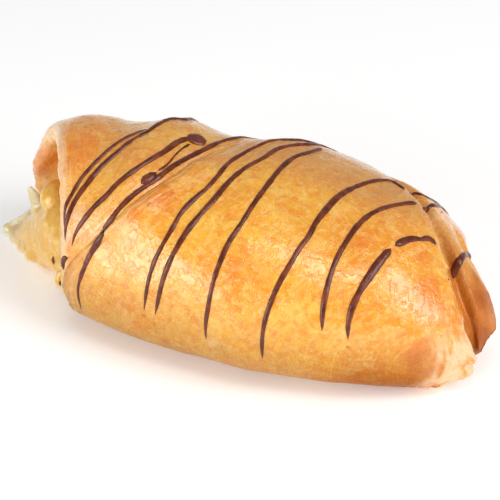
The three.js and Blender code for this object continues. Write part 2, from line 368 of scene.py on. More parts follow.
def new_piece(
    name: str, bm: bmesh.types.BMesh, material: bpy.types.Material
) -> bpy.types.Object:
    """Turns a bmesh into a finished piece of the pastry.

    Args:
        name: The piece's name.
        bm: Its mesh in metres, in the frame's axes; it is freed.
        material: Its material.

    Returns:
        The new object, which rides on the pastry's one body.
    """
    mesh = bpy.data.meshes.new(name)
    bm.to_mesh(mesh)
    bm.free()
    mesh.shade_smooth()
    piece = bpy.data.objects.new(name, mesh)
    bpy.context.scene.collection.objects.link(piece)
    piece.data.materials.append(material)
    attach(piece, BODY)
    LOG.info("%s: %d faces", name, len(mesh.polygons))
    return piece


class NodeSheet:
    """Writes a material's nodes with short calls."""

    def __init__(self, name: str) -> None:
        """Starts an empty material with a Principled shader."""
        self.material = bpy.data.materials.new(name)
        self.material.use_nodes = True
        self.tree = self.material.node_tree
        self.tree.nodes.clear()
        self.shader = self.tree.nodes.new("ShaderNodeBsdfPrincipled")
        out = self.tree.nodes.new("ShaderNodeOutputMaterial")
        self.tree.links.new(self.shader.outputs["BSDF"], out.inputs["Surface"])

    def set(self, **values: object) -> None:
        """Sets or links the shader's own sockets; an underscore stands for a space."""
        for name, value in values.items():
            self.feed(self.shader.inputs[name.replace("_", " ")], value)

    def feed(self, socket: bpy.types.NodeSocket, value: object) -> None:
        """Links a node's output to a socket, or sets the socket to a number or a colour."""
        if isinstance(value, bpy.types.NodeSocket):
            self.tree.links.new(value, socket)
        elif isinstance(value, tuple) and len(value) == 3 and socket.type == "RGBA":
            socket.default_value = (*value, 1.0)
        else:
            socket.default_value = value

    def add(self, kind: str, output: object = 0, inputs: dict | None = None, **settings: object) -> object:
        """Adds a node.

        Args:
            kind: Its type without the word ShaderNode.
            output: The number or name of the output to return.
            inputs: What goes into its sockets, by number or name.
            settings: The node's own settings.

        Returns:
            The chosen output socket.
        """
        node = self.tree.nodes.new("ShaderNode" + kind)
        for name, value in settings.items():
            setattr(node, name, value)
        for name, value in (inputs or {}).items():
            self.feed(node.inputs[name], value)
        return node.outputs[output]

    def mask(self, name: str) -> object:
        """A number that the piece's mesh holds at each of its points."""
        return self.add("Attribute", "Fac", attribute_type="GEOMETRY", attribute_name=name)

    def places(self, name: str) -> object:
        """A vector that the piece's mesh holds at each of its points."""
        return self.add("Attribute", "Vector", attribute_type="GEOMETRY", attribute_name=name)

    def grid(self) -> object:
        """Places on the piece in millimetres, turned from its Object coordinates."""
        where = self.add("TexCoord", "Object")
        return self.add("VectorMath", inputs={0: where, 3: 1 / MM}, operation="SCALE")

    def noise(self, vector: object, size: float, detail: float = 3, roughness: float = 0.55) -> object:
        """Noise of a lump size in the vector's unit, from 0 to 1."""
        values = {"Vector": vector, "Scale": 1 / size, "Detail": detail, "Roughness": roughness}
        return self.add("TexNoise", "Fac", values)

    def stretch(self, vector: object, scale: Sequence[float]) -> object:
        """The vector with each of its parts multiplied."""
        return self.add("VectorMath", inputs={0: vector, 1: tuple(scale)}, operation="MULTIPLY")

    def math(self, operation: str, *values: object) -> object:
        """A sum of one, two or three numbers."""
        return self.add("Math", inputs=dict(enumerate(values)), operation=operation)

    def span(self, value: object, low: float, high: float, to_low: float = 0, to_high: float = 1) -> object:
        """Moves a number from one range to another, smoothly and held at its ends."""
        numbers = {"Value": value, "From Min": low, "From Max": high, "To Min": to_low, "To Max": to_high}
        return self.add("MapRange", "Result", numbers, interpolation_type="SMOOTHSTEP")

    def mix(self, part: object, a: object, b: object) -> object:
        """A mix of two colours."""
        return self.add("Mix", 2, {0: part, 6: a, 7: b}, data_type="RGBA")

    def bump(self, height: object, distance: float, strength: float = 1.0, under: object = None) -> object:
        """A bump from a height of 0 to 1 that stands for a distance in metres."""
        values = {"Height": height, "Distance": distance, "Strength": strength}
        if under is not None:
            values["Normal"] = under
        return self.add("Bump", "Normal", values)


# ---------------------------------------------------------------- finishes


@dataclass(frozen=True)
class Mottle:
    """Soft patches of another colour, where noise of a lump size climbs past a level."""

    colour: Colour
    size: float  # millimetres
    levels: tuple[float, float]  # the noise at which they start and are full
    part: float  # how much of the colour shows where they are full
    detail: int = 3


@dataclass(frozen=True)
class CrustFinish:
    """Baked, egg-washed dough: golden with browner and paler places, painted shade on the low flanks and
    the back and partly in the groove, a few painted highlights, and a clear gloss.
    """

    golden: Colour = (0.93, 0.44, 0.028)
    amber: Colour = (0.84, 0.225, 0.002)
    light: Colour = (1.0, 0.61, 0.14)
    # pale: duller dough, made darker so that on the low flanks it is partly painted shade
    pale: Colour = (0.64, 0.33, 0.085)
    # painted shade: a duller tan laid on the top and back, which face away from the lamps
    tan: Colour = (0.62, 0.26, 0.060)
    # crumb: the pale colour of cut and flaky dough, also laid in a few spots as painted highlights
    crumb_and_highlight: Colour = (0.92, 0.61, 0.33)
    brown: Colour = (0.40, 0.095, 0.010)
    clouds: Mottle = Mottle(light, 6.0, (0.46, 0.66), 0.45)
    blotches: Mottle = Mottle(amber, 3.2, (0.42, 0.66), 0.62, 4)
    flecks: tuple[Mottle, ...] = (
        Mottle(light, 1.5, (0.46, 0.68), 0.50, 4),
        Mottle(amber, 0.6, (0.50, 0.72), 0.30),
    )
    specks: Mottle = Mottle(brown, 0.7, (0.60, 0.80), 0.12)
    brush_marks: Mottle = Mottle(light, 1.2, (0.52, 0.66), 0.30)
    brush_length: float = 9.0
    amber_clouds: Range = (0.30, 0.62, 0.35, 1.25)
    deep_masks: Range = (0.8, 1.0, 0, 0.75)
    deep_clouds: Range = (0.36, 0.56, 0.3, 1)
    line_gap: float = 0.8  # the fine lines of the dough's layers beside a cut edge
    line_length: float = 14.0
    light_lines: float = 0.55
    dark_lines: float = 0.22
    light_levels: tuple[float, float] = (0.50, 0.68)
    dark_levels: tuple[float, float] = (0.46, 0.30)
    grain_size: float = 0.45
    grain: Range = (0.35, 0.65, 0.90, 1.05)
    shade: float = 0.37  # how much darker the painted shade makes the low flanks
    wash: Range = (0.2, 0.9, 0.95, 0.20)
    dull_brown: float = 1.3
    dull_crumb: float = 0.6
    missed_wash: float = 0.8  # how much of the gloss the low flanks lack
    pore_size: float = 0.8
    pore_depth: float = 0.09 * MM
    plate_size: float = 3.0
    plate_depth: float = 0.10 * MM
    dimple_size: float = 5.0
    dimple_depth: float = 0.9 * MM
    line_depth: float = 0.4 * MM
    roughness: float = 0.45
    gloss_roughness: float = 0.03

    def material(self) -> bpy.types.Material:
        """Makes the material; it reads the dough's own masks."""
        nodes = NodeSheet("crust")
        grid = nodes.grid()
        lines = nodes.noise(self.along_streaks(nodes, self.line_gap, self.line_length), 1.0)
        skin = self.skin(nodes, grid, lines)
        nodes.set(
            Base_Color=self.colour(nodes, grid, lines),
            Roughness=self.roughness,
            Specular_IOR_Level=0.12,
            Normal=skin,
            Coat_Weight=self.gloss(nodes),
            Coat_Roughness=self.gloss_roughness,
            Coat_IOR=1.72,
            Coat_Normal=skin,
            Subsurface_Weight=0.06,
            Subsurface_Radius=(1.0, 0.45, 0.15),
            Subsurface_Scale=0.0022,
        )
        return nodes.material

    def colour(self, nodes: NodeSheet, grid: object, lines: object) -> object:
        """The base colour.

        Args:
            nodes: The sheet that it is written on.
            grid: Places on the piece in millimetres.
            lines: The noise of the fine lines beside a cut edge.

        Returns:
            The colour's socket.
        """
        cloud = nodes.noise(grid, self.clouds.size)
        part = nodes.math("MULTIPLY", nodes.mask("amber"), nodes.span(cloud, *self.amber_clouds))
        body = nodes.mix(part, self.golden, self.amber)
        brush = nodes.noise(self.along_streaks(nodes, self.brush_marks.size, self.brush_length), 1.0)
        body = self.mottled(nodes, body, self.clouds, cloud)
        body = self.mottled(nodes, body, self.blotches, self.lumps(nodes, grid, self.blotches))
        body = self.mottled(nodes, body, self.brush_marks, brush)
        for fleck in self.flecks:
            body = self.mottled(nodes, body, fleck, self.lumps(nodes, grid, fleck))
        deep = nodes.span(nodes.mask("amber"), *self.deep_masks)
        deep = nodes.math("MULTIPLY", deep, nodes.span(cloud, *self.deep_clouds))
        body = nodes.mix(deep, body, self.amber)
        # painted shade on the top and back
        body = nodes.mix(nodes.mask("tan"), body, self.tan)
        body = nodes.mix(nodes.mask("pale"), body, self.pale)
        streak = nodes.mask("streak")
        light_lines = nodes.math("MULTIPLY", nodes.span(lines, *self.light_levels), streak)
        body = nodes.mix(nodes.math("MULTIPLY", light_lines, self.light_lines), body, self.crumb_and_highlight)
        body = nodes.mix(nodes.mask("crumb_and_highlight"), body, self.crumb_and_highlight)
        specks = nodes.span(self.lumps(nodes, grid, self.specks), *self.specks.levels)
        brown = nodes.math("ADD", nodes.mask("brown"), nodes.math("MULTIPLY", specks, self.specks.part))
        dark_lines = nodes.math("MULTIPLY", nodes.span(lines, *self.dark_levels), streak)
        brown = nodes.math("ADD", brown, nodes.math("MULTIPLY", dark_lines, self.dark_lines))
        body = nodes.mix(brown, body, self.brown)
        grain = nodes.span(nodes.noise(grid, self.grain_size), *self.grain)
        # painted shade: the low flanks are darkened
        grain = nodes.math("SUBTRACT", grain, nodes.math("MULTIPLY", nodes.mask("shade"), self.shade))
        return nodes.add("VectorMath", inputs={0: body, 3: grain}, operation="SCALE")

    def gloss(self, nodes: NodeSheet) -> object:
        """Weight of the egg wash, which dries dull on pale, browned and crumbly places."""
        brown = nodes.math("MULTIPLY", nodes.mask("brown"), self.dull_brown)
        crumb_and_highlight = nodes.math("MULTIPLY", nodes.mask("crumb_and_highlight"), self.dull_crumb)
        dull = nodes.math("ADD", nodes.math("ADD", nodes.mask("pale"), brown), crumb_and_highlight)
        gloss = nodes.span(dull, *self.wash)
        missed = nodes.math("MULTIPLY", nodes.mask("shade"), self.missed_wash)
        return nodes.math("MULTIPLY", gloss, nodes.math("SUBTRACT", 1.0, missed))

    def skin(self, nodes: NodeSheet, grid: object, lines: object) -> object:
        """The fine relief: pores, plates of dried egg wash, dimples and the lines of the layers."""
        plates = nodes.span(nodes.noise(grid, self.plate_size, 4, 0.6), 0.45, 0.55)
        skin = nodes.bump(nodes.noise(grid, self.pore_size, 4, 0.6), self.pore_depth, 0.8)
        skin = nodes.bump(plates, self.plate_depth, 0.9, skin)
        skin = nodes.bump(nodes.noise(grid, self.dimple_size, 4), self.dimple_depth, 0.3, skin)
        return nodes.bump(nodes.math("MULTIPLY", lines, nodes.mask("streak")), self.line_depth, 0.8, skin)

    @staticmethod
    def along_streaks(nodes: NodeSheet, across: float, along: float) -> object:
        """The places of the streaks, measured in streaks of a width and a length."""
        return nodes.stretch(nodes.places("streaks"), (1 / across, 1 / along, 1))

    @staticmethod
    def lumps(nodes: NodeSheet, grid: object, mottle: Mottle) -> object:
        """The noise that a mottle's patches follow."""
        return nodes.noise(grid, mottle.size, mottle.detail)

    @staticmethod
    def mottled(nodes: NodeSheet, body: object, mottle: Mottle, lumps: object) -> object:
        """The body colour with a mottle's patches on it."""
        return nodes.mix(nodes.span(lumps, *mottle.levels, 0, mottle.part), body, mottle.colour)


@dataclass(frozen=True)
class FillingFinish:
    """Wet, soft, translucent yellow filling, clearer and greyer where it is thin."""

    deep: Colour = (0.72, 0.39, 0.034)
    light: Colour = (0.80, 0.51, 0.10)
    thin: Colour = (0.62, 0.56, 0.36)
    lump_size: float = 2.2
    grain_size: float = 0.9
    grain_depth: float = 0.25 * MM
    wave_size: float = 2.8
    wave_depth: float = 0.9 * MM

    def material(self) -> bpy.types.Material:
        """Makes the material; it reads the filling's mask of thin places."""
        nodes = NodeSheet("filling")
        grid = nodes.grid()
        lumps = nodes.noise(grid, self.lump_size, 4, 0.6)
        body = nodes.mix(nodes.span(lumps, 0.4, 0.7), self.deep, self.light)
        body = nodes.mix(nodes.mask("thin"), body, self.thin)
        skin = nodes.bump(nodes.noise(grid, self.grain_size, 3, 0.5), self.grain_depth, 0.6)
        skin = nodes.bump(nodes.noise(grid, self.wave_size, 2, 0.45), self.wave_depth, 0.35, skin)
        nodes.set(
            Base_Color=body,
            Roughness=0.30,
            Normal=skin,
            Coat_Weight=0.8,
            Coat_Roughness=0.05,
            Coat_Normal=skin,
            Subsurface_Weight=0.8,
            Subsurface_Radius=(1.0, 0.75, 0.35),
            Subsurface_Scale=0.005,
        )
        return nodes.material


@dataclass(frozen=True)
class ChocolateFinish:
    """Dark chocolate, set thin, with a soft gloss."""

    dark: Colour = (0.080, 0.012, 0.003)
    light: Colour = (0.200, 0.042, 0.016)
    cloud_size: float = 2.6
    grain_size: float = 0.8
    grain_depth: float = 0.16 * MM

    def material(self) -> bpy.types.Material:
        """Makes the material."""
        nodes = NodeSheet("chocolate")
        grid = nodes.grid()
        tone = nodes.span(nodes.noise(grid, self.cloud_size, 4), 0.30, 0.72)
        skin = nodes.bump(nodes.noise(grid, self.grain_size), self.grain_depth, 0.7)
        nodes.set(
            Base_Color=nodes.mix(tone, self.dark, self.light),
            Roughness=0.15,
            Normal=skin,
            Specular_IOR_Level=0.42,
        )
        return nodes.material


@dataclass(frozen=True)
class FloorFinish:
    """A plain pale table top."""

    colour: Colour = (0.95, 0.95, 0.95)

    def material(self) -> bpy.types.Material:
        """Makes the material."""
        nodes = NodeSheet("floor")
        nodes.set(Base_Color=self.colour, Roughness=0.9, Specular_IOR_Level=0.1)
        nodes.set(Emission_Color=self.colour, Emission_Strength=0.22)
        return nodes.material


# ---------------------------------------------------------------- the studio


@dataclass
class Softbox:
    """A flat light that points at the pastry."""

    name: str
    azimuth: float
    elevation: float
    width: float
    height: float
    glow: float  # radiance, in watts per square metre and steradian
    away: float = 0.9

    def build(self, target: Vector) -> None:
        """Puts the light in the scene, aimed at the target."""
        data = bpy.data.lights.new(self.name, "AREA")
        data.shape = "RECTANGLE"
        data.size, data.size_y = self.width, self.height
        data.energy = self.glow * math.pi * self.width * self.height
        lamp = bpy.data.objects.new(self.name, data)
        back = Studio.direction(self.azimuth, self.elevation)
        lamp.location = target + back * self.away
        lamp.rotation_euler = back.to_track_quat("Z", "Y").to_euler()
        bpy.context.scene.collection.objects.link(lamp)


@dataclass
class Studio:
    """The floor, the lights and the camera."""

    azimuth: float = 20.0
    elevation: float = 34.0
    distance: float = 0.4784
    lens: float = 127.3
    target: Vector = field(default_factory=lambda: Vector((6.73, -0.21, 20.24)) * MM)
    offset_right: float = -1.76 * MM  # the pastry stands a little right of the picture's middle
    offset_up: float = 0.22 * MM
    picture: int = 500
    film: float = 36.0  # width of the camera's film in millimetres
    nearest: float = 0.01
    furthest: float = 20.0
    floor_side: float = 6.0
    sky: float = 0.38
    boxes: tuple[Softbox, ...] = (
        Softbox("left_box", -38, 12, 0.72, 0.46, 4.4),
        Softbox("front_box", 25, 66, 0.24, 0.22, 5.0),
        Softbox("right_box", 76, 38, 0.46, 0.80, 4.7),
    )

    @staticmethod
    def direction(azimuth: float, elevation: float) -> Vector:
        """Unit vector from the pastry towards an azimuth and an elevation in degrees."""
        a, e = math.radians(azimuth), math.radians(elevation)
        return Vector((math.sin(a) * math.cos(e), -math.cos(a) * math.cos(e), math.sin(e)))

    def build(self) -> None:
        """Makes the floor, the lights and the camera."""
        self.make_camera()
        self.make_floor()
        for box in self.boxes:
            box.build(self.target)
        world = bpy.context.scene.world or bpy.data.worlds.new("sky")
        bpy.context.scene.world = world
        world.use_nodes = True
        world.node_tree.nodes["Background"].inputs["Color"].default_value = (1, 1, 1, 1)
        world.node_tree.nodes["Background"].inputs["Strength"].default_value = self.sky
        bpy.context.scene.view_settings.view_transform = "Standard"

    def make_camera(self) -> None:
        """Puts the camera at the photograph's angle."""
        data = bpy.data.cameras.new("camera")
        data.lens = self.lens
        data.sensor_width = self.film
        camera = bpy.data.objects.new("camera", data)
        back = self.direction(self.azimuth, self.elevation)
        turn = back.to_track_quat("Z", "Y")
        camera.rotation_mode = "QUATERNION"
        camera.rotation_quaternion = turn
        right, up = turn @ Vector((1, 0, 0)), turn @ Vector((0, 1, 0))
        aside = right * self.offset_right
        camera.location = self.target + aside + up * self.offset_up + back * self.distance
        data.clip_start, data.clip_end = self.nearest, self.furthest
        bpy.context.scene.collection.objects.link(camera)
        bpy.context.scene.camera = camera
        self.camera_place, self.camera_turn = camera.location.copy(), turn

    def make_floor(self) -> None:
        """Lays the floor."""
        bm = bmesh.new()
        bmesh.ops.create_grid(bm, x_segments=1, y_segments=1, size=self.floor_side / 2)
        mesh = bpy.data.meshes.new("floor")
        bm.to_mesh(mesh)
        bm.free()
        floor = bpy.data.objects.new("floor", mesh)
        floor.data.materials.append(FloorFinish().material())
        bpy.context.scene.collection.objects.link(floor)

    def sight(self, pixel: Pixel) -> tuple[Vector, Vector]:
        """The line of sight through a pixel of the photograph.

        Args:
            pixel: Place in the 500 by 500 frame, from its top left corner.

        Returns:
            The camera's place and the unit direction away from it.
        """
        half = self.picture / 2
        scale = self.film / self.lens / self.picture
        aim = Vector(((pixel[0] - half) * scale, (half - pixel[1]) * scale, -1))
        return self.camera_place, (self.camera_turn @ aim).normalized()


# ---------------------------------------------------------------- the dough


@dataclass(frozen=True)
class Dab:
    """A small raised, sunk or browned place on the crust, at a pixel of the photograph; some of its spots
    of crumb colour are painted highlights.
    """

    pixel: Pixel
    radius: float
    height: float = 0.0
    brown: float = 0.0
    crumb_and_highlight: float = 0.0
    amber: float = 0.0


@dataclass(frozen=True)
class Rounding:
    """How a cut edge is rounded: over which distance, and by which part of half the thickness."""

    radius: float
    part: float


@dataclass
class Dough:
    """The folded sheet, an outer and an inner skin joined along its cut edges.

    Its constants say where things lie on the sheet, in degrees of turn or in millimetres. A pair of
    them is a fade from 0 to 1 for ramp, or a middle and a width for hill.
    """

    FAR_LEFT = Rounding(2.4, 0.55)
    NEAR_LEFT = Rounding(4.0, 0.85)
    FAR_RIGHT = Rounding(2.0, 0.6)
    RIM = Rounding(6.5, 0.95)
    NEAR_RIGHT = Rounding(1.4, 0.45)
    FOLD = Rounding(3.2, 0.9)
    TIP = Rounding(5.0, 0.96)
    NEAR_FLAP = (-5, -25)
    RIM_ROUNDED = (170, 190)
    FOLD_TURNS = (-128, -150)
    LIP_TURNS = (128, 22)
    LIP_STRIP = (3.0, 4.5)
    LIP_X = (-55, -62)
    SCAN_ROWS = 2000
    SCAN_COLUMNS = 400
    UNDERSIDE = (22, 12)  # here the rows lie further apart
    UNDERSIDE_SPARING = 0.75
    COVERED = (118, 135)  # here the near flap hides the sheet, and the columns lie further apart
    COVERED_EDGE = 3
    COVERED_SPARING = 0.85
    OUTER_CROWD = (1.2, (3, 0), (4, 0))  # how much closer the columns lie at the left and the right edge
    INNER_CROWD = (2.5, (15, 0), (8, 0))
    ARC_RADIUS = 32.0  # turns an angle round the pastry into a length along its skin
    FLAP_SHIFT = 40.0  # sets the two flaps' patterns apart
    STREAK_SHIFT = 9
    NOWHERE = 99.0
    FAR_TOP = (118, 140)
    BASE_FADE = (0, 18)
    LEFT_FADE = (0, 3)
    BELLY_TURNS = (-52, 9)
    BELLY_START = (-40, -20)
    BELLY_END = (62, 45)
    FACET_TURNS = (-80, 16)  # flatter places on the front, which catch the light
    DIP_TURNS = (-113, 14)
    FACETS = ((-28, 16, 1.0), (9, 9, 0.55))
    CREASE_TURNS = (-43, 3.5)
    CREASE_START = (-15, 0)
    CREASE_END = (50, 30)
    CREASE_SWING = 3
    CREASE_WAVE = 9
    FLAKE_STRIP = (15, 4)
    FLAKE_TOP = (-124, -96)
    FLAKE_BASE = (-30, -42)
    RAGGED_TURNS = 9
    RAGGED_INWARD = 0.35
    RAGGED_STRIP = (6, 0)
    TORN_TOP = (-110, -85)
    TORN_BASE = (-25, -45)
    TORN_PART = 1.4
    CALM_RIM = (150, 170)
    CALM_PART = 0.75
    LAYERS = 5
    LAYER_DRIFT = 0.06
    INNER_SKIN = (0.8, 1.0)  # parts of the way from the outer to the inner skin
    CUT_START = (0.02, 0.2)
    CUT_END = (1.02, 0.9)
    RIM_TURNS = (168, 184)
    RIM_STRIP = (8.0, 5.0)
    # the far flap's groove beside the near flap's right edge, browner: partly pooled egg wash, partly
    # painted shade in the hollow
    BOWL_TURNS = (160, 184)
    BOWL = (3.0, 4.0)
    # the low flanks' pale: partly duller, less washed dough, partly painted shade
    LOW_FLANK = (104, 62)
    LOW_FOOT = (66, 30)
    FLANK_PALE = 0.6
    FOOT_PALE = 0.4
    BAKED_RIGHT = (12, 36)  # the low flank's pale, partly painted shade, is left out at the right end
    BAKED_PART = 0.95
    FAR_EDGE_TURNS = (100, 140)
    FAR_EDGE = (3.2, 1.8)
    NEAR_EDGE = (3.4, 0.6)
    # where the painted shade lies, on the near flap's top and back and on the far flap's back
    NEAR_BACK = (-165, -195)
    FAR_BACK = (105, 140)
    FAR_BACK_X = (-60, -30)
    FAR_BACK_SHADE = 0.4
    # a painted highlight: pale laid on the far flap's top past the near flap's right edge
    PEACH_START = (150, 172)
    PEACH_END = (190, 178)
    PEACH_X = (46, 50)
    SHOULDER = (-125, 26)
    SHOULDER_X = (38, 56)
    FOOT = (-62, 20)
    FOOT_X = (22, 40)
    FOOT_ORANGE = 1.6
    DRY_STRIP = (12, 5)
    DRY_TOP = (-134, -98)
    DRY_BASE = (-28, -42)
    TORN_LEVEL = 0.15
    EDGE_CRUMB = 0.7
    # painted shade on the low flanks, with more of it on the front towards the right end
    SHADED = (112, 66)
    SHADED_RIGHT = (20, 42)
    SHADED_MORE = 0.45
    BLISTER_RADII = (0.5, 1.7)
    BLISTER_STEEPNESS = 0.09
    BLISTER_BROWN = 0.30
    BLISTER_RAGGED = 0.6
    BLISTER_LUMPS = 0.5  # their size as a part of the blister's radius
    CLEAR_OF_BASE = 3 * MM

    form: FoldedForm
    studio: Studio
    rows: int = 400
    outer_columns: int = 165
    inner_columns: int = 40
    cut_rows: int = 8
    swell_height: float = 0.5
    swell_size: float = 26.0
    dent_height: float = 0.24
    dent_size: float = 9.0
    wrinkle_height: float = 0.03
    wrinkle_size: float = 3.4
    drip_height: float = 0.055
    drip_gap: float = 1.5
    drip_length: float = 11.0
    belly_height: float = 0.7
    facet_height: float = 2.2
    dip_height: float = 1.3
    crease_depth: float = 0.8
    flake_height: float = 0.70
    flake_size: float = 1.8
    tear_height: float = 0.5
    tear_size: float = 6.0
    flake_gap: float = 1.6
    flake_length: float = 9.0
    patch_size: float = 9.0
    haze_size: float = 22.0
    streak_height: float = 0.12
    streak_gap: float = 0.9
    streak_length: float = 16.0
    streak_reach: float = 13.0
    ragged_height: float = 0.7
    layer_height: float = 0.22
    lip_height: float = 2.6
    blister_count: int = 150
    seed: int = 7
    dabs: tuple[Dab, ...] = (
        Dab((164, 186), 1.3, height=0.15, brown=0.60),
        Dab((169, 187), 0.9, height=0.12, brown=0.55),
        Dab((172, 193), 0.7, height=0.08, brown=0.45),
        Dab((148, 204), 1.1, height=0.12, brown=0.50),
        Dab((154, 205), 0.8, height=0.12, brown=0.40),
        Dab((109, 303), 0.8, height=0.10, brown=0.50),
        Dab((345, 200), 1.0, height=0.12, brown=0.35),
        Dab((363, 199), 0.9, height=0.12, brown=0.30),
        Dab((377, 231), 0.9, height=0.12, brown=0.35),
        Dab((79, 123), 1.6, height=0.12, brown=0.35),
        Dab((86, 127), 1.1, height=0.10, brown=0.45),
        Dab((92, 125), 1.2, height=0.12, brown=0.50),
        Dab((70, 161), 2.2, height=0.10, brown=0.30),
        Dab((65, 172), 1.6, height=0.10, brown=0.28),
        Dab((43, 160), 4.0, brown=0.16),
        Dab((40, 171), 3.0, brown=0.10),
        Dab((49, 138), 4.0, crumb_and_highlight=0.8),
        # a painted highlight on the left lip
        Dab((45, 183), 3.0, crumb_and_highlight=0.8),
        Dab((485, 329), 0.6, brown=0.8),
        Dab((348, 347), 0.7, height=0.05, brown=0.85),
        Dab((348.5, 356), 0.8, brown=0.60),
        Dab((144, 316), 0.8, height=0.05, brown=0.65),
        Dab((155, 325), 0.8, height=0.05, brown=0.70),
        Dab((156, 330), 0.7, brown=0.55),
        Dab((85, 319), 0.6, brown=0.50),
        Dab((481, 300), 3.6, brown=0.25),
        Dab((476, 275), 3.0, brown=0.30),
        Dab((222, 352), 4.2, height=-0.5, brown=0.14),
        Dab((213, 343), 2.6, height=0.35, crumb_and_highlight=0.5),
        Dab((360, 345), 3.2, height=-0.25, brown=0.12),
        Dab((425, 352), 6.0, brown=0.22, amber=1.0),
        Dab((412, 362), 5.0, brown=0.16, amber=0.9),
        Dab((432, 370), 4.0, brown=0.20, amber=1.0),
        Dab((428, 285), 6.0, amber=0.7),
        Dab((428, 258), 3.4, brown=0.05, amber=0.9),
        Dab((232, 195), 7.0, amber=0.6),
        Dab((160, 196), 7.5, brown=0.05, amber=0.8),
        Dab((115, 302), 6.5, amber=0.8),
        Dab((133, 213), 4.5, amber=0.8),
        Dab((78, 150), 6.5, brown=0.02, amber=0.7),
        Dab((240, 258), 6.0, amber=0.4),
        # painted highlights in the crumb colour, on the far flap at both ends
        Dab((437, 217), 3.6, height=0.3, crumb_and_highlight=0.55),
        Dab((77, 213), 4.6, crumb_and_highlight=0.50),
        Dab((67, 238), 3.2, crumb_and_highlight=0.45),
    )

    def build(self) -> bpy.types.Object:
        """Makes the dough and dresses it.

        Returns:
            The finished piece, which stands for the solid model's dough.
        """
        self.lay_out()
        points = self.shape()
        mesh = self.grid_mesh(points)
        bm = bmesh.new()
        bm.from_mesh(mesh)
        bpy.data.meshes.remove(mesh)
        self.close(bm)
        self.blister(bm)
        piece = new_piece("dough_sheet", bm, CrustFinish().material())
        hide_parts("dough")
        return piece

    def lay_out(self) -> None:
        """Spreads rows over the turns and a closed loop of columns over each row's two skins."""
        turn_scan = np.linspace(self.form.NEAR_TIP, self.form.FAR_TIP, self.SCAN_ROWS)
        weight = 1 - self.UNDERSIDE_SPARING * ramp(*self.UNDERSIDE, np.abs(turn_scan))
        row_turns = self.spread(turn_scan, weight, self.rows)
        outer, inner = [], []
        for turn in row_turns:
            left, right = float(self.form.left(turn)), float(self.form.right(turn))
            x = np.linspace(left, right, self.SCAN_COLUMNS)
            near_left, near_right = float(self.form.left(turn - 360)), float(self.form.right(turn - 360))
            covered = ramp(near_left, near_left + self.COVERED_EDGE, x)
            covered = covered * ramp(near_right, near_right - self.COVERED_EDGE, x)
            sparing = self.COVERED_SPARING * covered * float(ramp(*self.COVERED, np.array(turn)))
            outer_weight = 1 - sparing + self.crowd(self.OUTER_CROWD, x)
            outer.append(self.spread(x, outer_weight, self.outer_columns))
            inner_weight = 1 + self.crowd(self.INNER_CROWD, x)
            inner.append(self.spread(x, inner_weight, self.inner_columns)[::-1])
        cut = np.linspace(0, 1, self.cut_rows + 1)[1:-1]
        parts = []
        for o, i in zip(outer, inner):
            loop = [o, np.full(len(cut), o[-1]), i, np.full(len(cut), o[0]), o[:1]]
            parts.append(np.concatenate(loop))
        self.x = np.array(parts)
        ones = np.ones(self.inner_columns + 1)
        zeros = np.zeros(self.outer_columns + 1)
        self.depth = np.tile(np.concatenate([zeros, cut, ones, cut[::-1], [0.0]]), (len(row_turns), 1))
        self.turn = np.repeat(row_turns[:, None], self.x.shape[1], axis=1)
        self.from_left = self.x - self.form.left(self.turn)
        self.from_right = self.form.right(self.turn) - self.x

    @staticmethod
    def crowd(crowding: Crowding, x: np.ndarray) -> np.ndarray:
        """How much closer the columns of a row lie towards its two ends."""
        most, left, right = crowding
        return most * (ramp(*left, x - x[0]) + ramp(*right, x[-1] - x))

    @staticmethod
    def spread(values: np.ndarray, weight: np.ndarray, steps: int) -> np.ndarray:
        """Places steps along a range, closer together where the weight is high.

        Args:
            values: The range, rising.
            weight: How close the steps lie at each value.
            steps: How many there are.

        Returns:
            The places, one more than steps.
        """
        total = np.concatenate([[0], np.cumsum((weight[1:] + weight[:-1]) / 2 * np.diff(values))])
        return np.interp(np.linspace(0, total[-1], steps + 1), total, values)

    def shape(self) -> np.ndarray:
        """Works out every point and the masks that the finish reads.

        Returns:
            Points in the frame's axes in millimetres, by row and column.
        """
        form, turn, x, depth = self.form, self.turn, self.x, self.depth
        outer_at, inner_at = form.outer(turn, x), form.inner(turn, x)
        drop = self.rounding((outer_at - inner_at) / 2)
        top, low = outer_at - drop, inner_at + drop
        smooth = form.place(turn, x, top, np.zeros_like(x))
        self.places = smooth.reshape(-1, 3) + np.where(turn < 0, 0.0, self.FLAP_SHIFT).reshape(-1, 1)
        self.find_seam()
        relief = self.relief()
        self.masks = self.paint()
        lip = self.lip_height * hill(*self.LIP_TURNS, turn) * hill(*self.LIP_STRIP, self.from_left)
        distance = blend(top + relief, low - lip, depth)
        x = x + self.ragged()
        return form.place(turn, x, distance, depth * form.floor(x))

